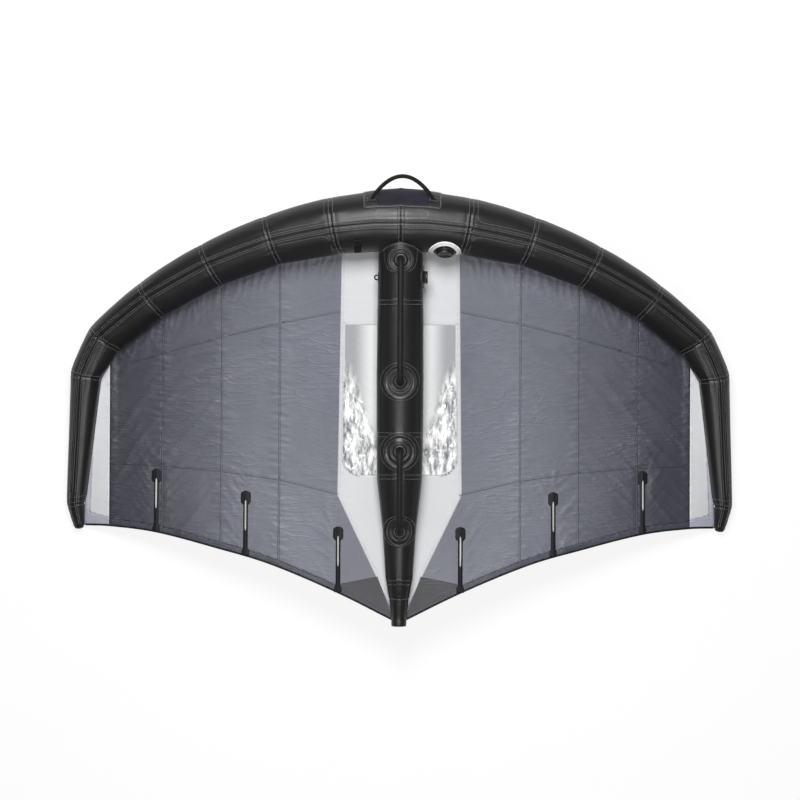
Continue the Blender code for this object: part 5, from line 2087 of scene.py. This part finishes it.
def inflation_valve():
    """The wide valve on the leading edge: a white glued ring, a black flange and a hinged lid."""
    seat = tube_seat(0.182, math.radians(160.0))
    bore = 0.0280
    rings = seat.bent_rings(
        (bore, 0.0006), (0.038, 0.0006), (0.048, 0.0006), (0.058, 0.0006), (0.0665, 0.0006),
        (0.0678, 0.0009), (0.0680, 0.0016), (0.0672, 0.0023), (0.0560, 0.0025),
        (0.0540, 0.0021), (0.0525, 0.0025), (0.0400, 0.0025), (bore, 0.0023),
    )
    piece("valve_ring_disc", washer(rings), "valve_ring_film", node="valve_surround_ring")

    neck, top = 0.0355, 0.007
    profile = seat.flat_rings((0.012, -0.0295), (0.0262, -0.0295), (0.0268, -0.0285))
    profile += seat.bent_rings(
        (0.0268, 0.0027), (0.0360, 0.0027), (0.0464, 0.0027), (0.0470, 0.0036),
        (0.0462, 0.0050), (0.0440, 0.0056), (0.0405, 0.0050), (0.0385, 0.0054),
    )
    profile += seat.flat_rings(
        (neck + 0.0008, 0.0058), (neck, 0.0064), (neck - 0.0008, top), (neck - 0.0050, top),
        (neck - 0.0060, top - 0.0022), (0.012, top - 0.0022),
    )
    piece("valve_body", lathe(profile, 72), "valve_moulding", node="inflation_valve_body")
    flip_lid("valve_lid", "inflation_valve_cap", "inflation_cap", seat, top, neck)
    return [seat.line(0.0605, 0.0030, 96), seat.line(0.0640, 0.0030, 96)]


lid_top_section = (
    (0.965, 0.92), (0.92, 1.0), (0.72, 1.0), (0.69, 0.9333), (0.64, 0.72), (0.45, 0.70),
    (0.43, 0.78), (0.36, 0.78), (0.34, 0.70), (0.12, 0.70),
)


def flip_lid(name, node, body, seat, lift, radius):
    """A flat lid with a knurled rim and a sunk middle, and its hinge pin."""
    low = lift + cloth_gap
    height = 0.009
    teeth = 60

    def knurled(rise):
        flat = seat.flat(radius * 0.995, rise)
        small = seat.flat(radius * 0.995 - 0.0005, rise)
        return lambda a: flat(a) if round(a / math.tau * teeth * 2) % 2 else small(a)

    profile = seat.flat_rings(
        (radius * 0.5, low + 0.0002), (radius * 0.93, low + 0.0002), (radius * 0.965, low + 0.0010)
    )
    profile += [knurled(low + 0.0026), knurled(low + height * 0.72)]
    top = ((radius * share, low + height * rise) for share, rise in lid_top_section)
    bm = lathe(profile + seat.flat_rings(*top), teeth * 2)
    piece(name, bm, "valve_moulding", body, node=node)

    hinge = seat.centre + seat.normal * (low + 0.002) + seat.across * (radius + 0.004)
    pin = [hinge + seat.along * (0.009 * t / 6) for t in range(-6, 7)]
    tube_piece(f"{name}_pin", pin, [0.0018] * 13, seat.normal, "valve_moulding", body, 14)


def strut_side_valve():
    """The small screw valve on the strut's side."""
    seat = strut_side_seat(nose_y - 0.242)
    bore = 0.0189
    knob, top = 0.026, 0.008
    profile = seat.flat_rings((0.008, -0.0205), (bore - 0.0012, -0.0205), (bore - 0.0004, -0.0195))
    profile += seat.bent_rings(
        (bore - 0.0004, 0.0005), (0.0280, 0.0005), (0.0370, 0.0005), (0.0464, 0.0006),
        (0.0470, 0.0014), (0.0462, 0.0028), (0.0430, 0.0033), (0.0410, 0.0027),
        (0.0320, 0.0029), (0.0280, 0.0033),
    )
    profile += seat.flat_rings((knob - 0.0004, 0.0048), (knob - 0.0010, top), (0.012, top))
    piece("strut_valve_base", lathe(profile, 64), "valve_moulding", node="strut_valve_body")
    flip_lid("strut_valve_lid", "strut_valve_cap", "strut_cap", seat, top, knob)
    return [seat.line(0.0500, 0.0006, 72), seat.line(0.0450, 0.0036, 72)]


def edge_tab():
    """The flat webbing tab sewn to the leading edge, with a bar tack and a free end."""
    middle_x, width = -0.1775, 0.0290
    start, end = math.radians(124.5), math.radians(167.5)
    columns, rows = 12, 40

    def point(level, i, j):
        u, part = 2 * i / columns - 1, j / rows
        height = 0.0004
        if level:
            height = 0.0012 + 0.0015 * step(0, 0.14, 1 - abs(u)) + 0.0004 * bump(part - 0.12, 0.06)
        x = middle_x + u * width / 2 * (1 - 0.10 * step(0.9, 1.0, part))
        return tube_front_point(x, start + (end - start) * part, height)

    bm = shell(columns, rows, point)
    piece("edge_tab_webbing", bm, "webbing", "tab", node="leading_edge_tab")
    lines = []
    for inset in (0.0018, 0.005):
        reach, low, high = width / 2 - inset, 0.001 + inset, 0.030 - inset
        box = (-reach, low), (reach, low), (reach, high), (-reach, high)
        outline = rounded(box, 0.001, True, 0.004)
        places = [(middle_x + p.x, start + p.y / 0.13) for p in outline]
        lines.append(front_line_at(places, 0.0029))
    stitched("edge_tab_stitches", lines, "dark_thread", "tab", None, "webbing")


def side_loop():
    """The small cord loop at the strut's side, opposite its valve."""
    y = nose_y - 0.243
    radius = 0.003
    strut_radius = strut_section(y)[1]
    facet = strut_radius * (1 - math.cos(math.pi / 16))
    lift = radius + 0.0006 - facet
    feet = [strut_point(y + way * (0.0125 - radius), -math.pi / 2, lift) for way in (left, right)]
    path = with_ends(arch(feet[0], feet[1], Vector((-1, 0, 0)), 0.011, 2.4, 40), (0.0022,))
    radii = [0.00295 + 0.00012 * math.sin(k * 2.1) for k in range(len(path) - 2)]
    kind = "webbing", "side_loop", 16
    radii = [0.0015, *radii, 0.0015]
    tube_piece("side_loop_cord", path, radii, Vector((-1, 0, 0)), *kind, node="strut_side_loop")
    rows = []
    for k in range(25):
        turns = [-math.pi / 2 + (j / 4 - 1) * 0.012 / strut_radius for j in range(9)]
        rows.append([on_strut(y - 0.021 + 0.042 * k / 24, turn, 0.0009)[0] for turn in turns])
    bm = bmesh.new()
    ring_rows(bm, rows, closed=False)
    lay_uv(bm, lambda co: (co.z, co.y))
    face_away(bm, Vector((0, y, strut_section(y)[0])))
    piece("side_loop_patch", bm, "tape_cloth", slot="tube_cloth")
    turns = [-math.pi / 2 + (k / 8 - 1) * 0.011 / strut_radius for k in range(17)]
    lines = [[on_strut(y + way * 0.0195, turn, 0.0011) for turn in turns] for way in (left, right)]
    stitched("side_loop_patch_stitches", lines, "dark_thread")


# Operators

class WING_OT_materials(bpy.types.Operator):
    """Make every cloth, film, webbing and moulded finish"""

    bl_idname = "wing.materials"
    bl_label = "Make finishes"

    def execute(self, context):
        make_materials()
        return {"FINISHED"}


class WING_OT_tubes(bpy.types.Operator):
    """Sew the leading-edge tube and the strut, with their end caps and air tubes"""

    bl_idname = "wing.tubes"
    bl_label = "Sew tubes"

    def execute(self, context):
        for side in sides:
            for index in range(tip):
                tube_panel(index, side)
        start = stations[0].place.y - 0.085
        for name, last in strut_parts:
            end = nose_y - strut_backs[last]
            strut_piece(name, start, end)
            start = end
        strut_cap()
        bladders()
        return {"FINISHED"}


class WING_OT_tube_stitches(bpy.types.Operator):
    """Lay the stitches of the tubes' seams"""

    bl_idname = "wing.tube_stitches"
    bl_label = "Stitch tubes"

    def execute(self, context):
        for side in sides:
            lines = []
            for station in range(1, tip):
                for offset in (-0.0085, 0.0085):
                    lines.append(tube_cross_line(station, side, offset))
            lines.append(tube_cross_line(7, side, -0.030))
            for offset in (-0.0185, -0.0105, 0.0105, 0.0185):
                lines.append(tube_long_line(side, offset))
            stitched(named("tube_stitches", side), lines)
        lines = [tube_cross_line(0, right, 0.0085), tube_cross_line(0, left, 0.0085)]
        for inset in (0.0, 0.004):
            corners = (-0.102 + inset, 0.022 + inset), (0.112 - inset, 0.022 + inset)
            corners += (0.112 - inset, 0.058 - inset), (-0.102 + inset, 0.058 - inset)
            lines.append(tube_outline(right, corners, 0.018))
        for side in sides:
            for off, reach in ((0.030, 0.150), (-0.030, -0.150)):
                corners = (0.297, reach), (0.297, off), (0.540, off)
                lines.append(tube_outline(side, corners, 0.035, closed=False))
        stitched("tube_stitches_middle", lines)
        lines = []
        for seam in strut_seams[:4]:
            lines += [strut_ring_line(seam - 0.0085), strut_ring_line(seam + 0.0085)]
        lines.append(strut_ring_line(strut_seams[4]))
        lines.append(strut_ring_line(nose_y - strut_backs[-1] + 0.003))
        for back in (0.004, 0.013):
            turns = [-1.62 + 3.24 * k / 60 for k in range(61)]
            lines.append([on_strut(strut_front(turn) - back, turn, 0.0004) for turn in turns])
        shape = (-0.079, 0.055), (-0.075, -0.008), (-0.05, -0.045), (0.0, -0.054)
        shape += (0.05, -0.045), (0.075, -0.008), (0.079, 0.055)
        shape = rounded(shape, 0.03, False)
        lines.append(strut_outline(base_places[0], shape, 0.0004))
        stitched("strut_stitches", lines)
        return {"FINISHED"}


class WING_OT_canopy(bpy.types.Operator):
    """Cut and sew the canopy's sheets, with their tapes, hems and stitches"""

    bl_idname = "wing.canopy"
    bl_label = "Sew canopy"

    def execute(self, context):
        for side in sides:
            canopy_side(side)
            canopy_tapes(side)
            corner_patch(side)
            canopy_stitches(side)
        return {"FINISHED"}


class WING_OT_battens(bpy.types.Operator):
    """Make the six battens in their pockets"""

    bl_idname = "wing.battens"
    bl_label = "Make battens"

    def execute(self, context):
        for side in sides:
            lines = []
            for number, (x, length) in enumerate(batten_lines, 1):
                lines += batten(number, x, length, side)
            kind = {"slot": "batten_pocket", "scale": 0.8}
            stitched(named("batten_stitches", side), lines, "dark_thread", **kind)
        return {"FINISHED"}


class WING_OT_handles(bpy.types.Operator):
    """Mount the two foam-covered handles on their four moulded bases"""

    bl_idname = "wing.handles"
    bl_label = "Mount handles"

    def execute(self, context):
        seats, lines = [], []
        for number, y in enumerate(base_places, 1):
            seat, rounds = handle_base(number, y)
            seats.append(seat)
            lines += rounds
        stitched("base_stitches", lines)
        handle_grip("front_foam_bar", "front_grip", seats[0], seats[1])
        handle_grip("rear_foam_bar", "rear_grip", seats[2], seats[3])
        return {"FINISHED"}


class WING_OT_nose_handle(bpy.types.Operator):
    """Sew the nose handle and its pad to the leading edge"""

    bl_idname = "wing.nose_handle"
    bl_label = "Sew nose handle"

    def execute(self, context):
        nose_pad()
        nose_loop()
        return {"FINISHED"}


class WING_OT_valves(bpy.types.Operator):
    """Fit the inflation valve and the strut's valve, with their hinged lids"""

    bl_idname = "wing.valves"
    bl_label = "Fit valves"

    def execute(self, context):
        stitched("valve_stitches", inflation_valve() + strut_side_valve())
        return {"FINISHED"}


class WING_OT_tab_and_loop(bpy.types.Operator):
    """Sew on the leading-edge tab and the strut's side loop"""

    bl_idname = "wing.tab_and_loop"
    bl_label = "Sew tab and loop"

    def execute(self, context):
        edge_tab()
        side_loop()
        return {"FINISHED"}


def floor_material():
    """A pale floor that shows nearly white and keeps a soft shadow."""
    recipe = Recipe("pale_floor", (0.86, 0.86, 0.86), 0.9)
    recipe.set(Specular_IOR_Level=0.0)
    grain = recipe.noise(recipe.place("Object"), 3.0, 2.0)
    recipe.paint(recipe.ramp(grain, ((0.3, (0.85, 0.85, 0.85)), (0.7, (0.87, 0.87, 0.87)))))
    rays = recipe.node("ShaderNodeLightPath").outputs
    seen = recipe.math("MAXIMUM", rays["Is Camera Ray"], rays["Is Glossy Ray"])
    seen = recipe.math("MAXIMUM", seen, rays["Is Transmission Ray"])
    glow = recipe.node("ShaderNodeEmission").outputs[0]
    share = recipe.math("MULTIPLY", seen, 0.85)
    mix = recipe.node("ShaderNodeMixShader", {0: share, 1: recipe.shader.outputs[0], 2: glow})
    feed(recipe.tree, recipe.tree.nodes["Material Output"].inputs["Surface"], mix.outputs[0])
    return recipe.material


def soft_box(name, place, size, power):
    """A square lamp that faces the middle of the wing."""
    lamp = bpy.data.lights.new(name, "AREA")
    lamp.shape = "RECTANGLE"
    lamp.size = lamp.size_y = size
    lamp.energy = power
    made = put_in_scene(name, lamp)
    made.location = place
    made.rotation_euler = (-Vector(place)).to_track_quat("-Z", "Y").to_euler()


def studio_world():
    """Dim light from all round, which the camera sees as plain white."""
    world = bpy.data.worlds.new("studio")
    world.use_nodes = True
    tree = world.node_tree
    tree.nodes.clear()
    soft = add_node(tree, "ShaderNodeBackground", {"Strength": 0.2}).outputs[0]
    white = add_node(tree, "ShaderNodeBackground", {"Color": (1, 1, 1, 1)}).outputs[0]
    rays = add_node(tree, "ShaderNodeLightPath").outputs
    seen = {0: rays["Is Camera Ray"], 1: rays["Is Transmission Ray"]}
    seen = add_node(tree, "ShaderNodeMath", seen, operation="MAXIMUM").outputs[0]
    mix = add_node(tree, "ShaderNodeMixShader", {0: seen, 1: soft, 2: white}).outputs[0]
    add_node(tree, "ShaderNodeOutputWorld", {"Surface": mix})
    bpy.context.scene.world = world


class WING_OT_stage(bpy.types.Operator):
    """Lay the floor, set the soft lamps and put the camera straight above the handle side"""

    bl_idname = "wing.stage"
    bl_label = "Set stage"

    def execute(self, context):
        bm = bmesh.new()
        reach, count = 30.0, 12
        lines = [reach * (2 * k / count - 1) for k in range(count + 1)]
        ring_rows(bm, [[(x, y, 0.0) for x in lines] for y in lines], closed=False)
        mesh = bpy.data.meshes.new("floor")
        bm.to_mesh(mesh)
        bm.free()
        mesh.materials.append(floor_material())
        floor = put_in_scene("floor", mesh)
        studio_world()
        soft_box("overhead_lamp", (-0.3, 2.8, 5.2), 2.4, 390)
        soft_box("fill_lamp", (0.0, -1.2, 4.0), 1.5, 62)
        scene = context.scene
        camera = bpy.data.cameras.new("camera")
        distance, plane, width = 16.0, 0.15, 3.34
        camera.sensor_width = 36.0
        camera.lens = camera.sensor_width * distance / width
        camera.clip_end = 100.0
        made = put_in_scene("camera", camera)
        made.location = (0.0, 0.0061, plane + distance)
        made.rotation_euler = (0.0, 0.0, math.radians(0.3))
        scene.camera = made
        scene.view_settings.view_transform = "Standard"
        return {"FINISHED"}


class WING_PT_panel(bpy.types.Panel):
    """Sizes, colours and building steps of the wing"""

    bl_idname = "WING_PT_panel"
    bl_label = "Foil wing"
    bl_space_type = "VIEW_3D"
    bl_region_type = "UI"
    bl_category = "Foil wing"

    def draw(self, context):
        layout = self.layout
        for group in (context.scene.wing_sizes, context.scene.wing_colours):
            box = layout.box()
            for name in group.bl_rna.properties.keys():
                if name not in ("rna_type", "name"):
                    box.prop(group, name)
        for kind in operators:
            layout.operator(kind.bl_idname)


operators = (
    WING_OT_materials,
    WING_OT_tubes,
    WING_OT_tube_stitches,
    WING_OT_canopy,
    WING_OT_battens,
    WING_OT_handles,
    WING_OT_nose_handle,
    WING_OT_valves,
    WING_OT_tab_and_loop,
    WING_OT_stage,
)
classes = (WingSizes, WingColours, *operators, WING_PT_panel)


def register():
    for kind in classes:
        bpy.utils.register_class(kind)
    bpy.types.Scene.wing_sizes = bpy.props.PointerProperty(type=WingSizes)
    bpy.types.Scene.wing_colours = bpy.props.PointerProperty(type=WingColours)


def unregister():
    del bpy.types.Scene.wing_colours
    del bpy.types.Scene.wing_sizes
    for kind in reversed(classes):
        bpy.utils.unregister_class(kind)


def main():
    register()
    for kind in operators:
        group, name = kind.bl_idname.split(".")
        getattr(getattr(bpy.ops, group), name)()


if __name__ == "__main__":
    main()
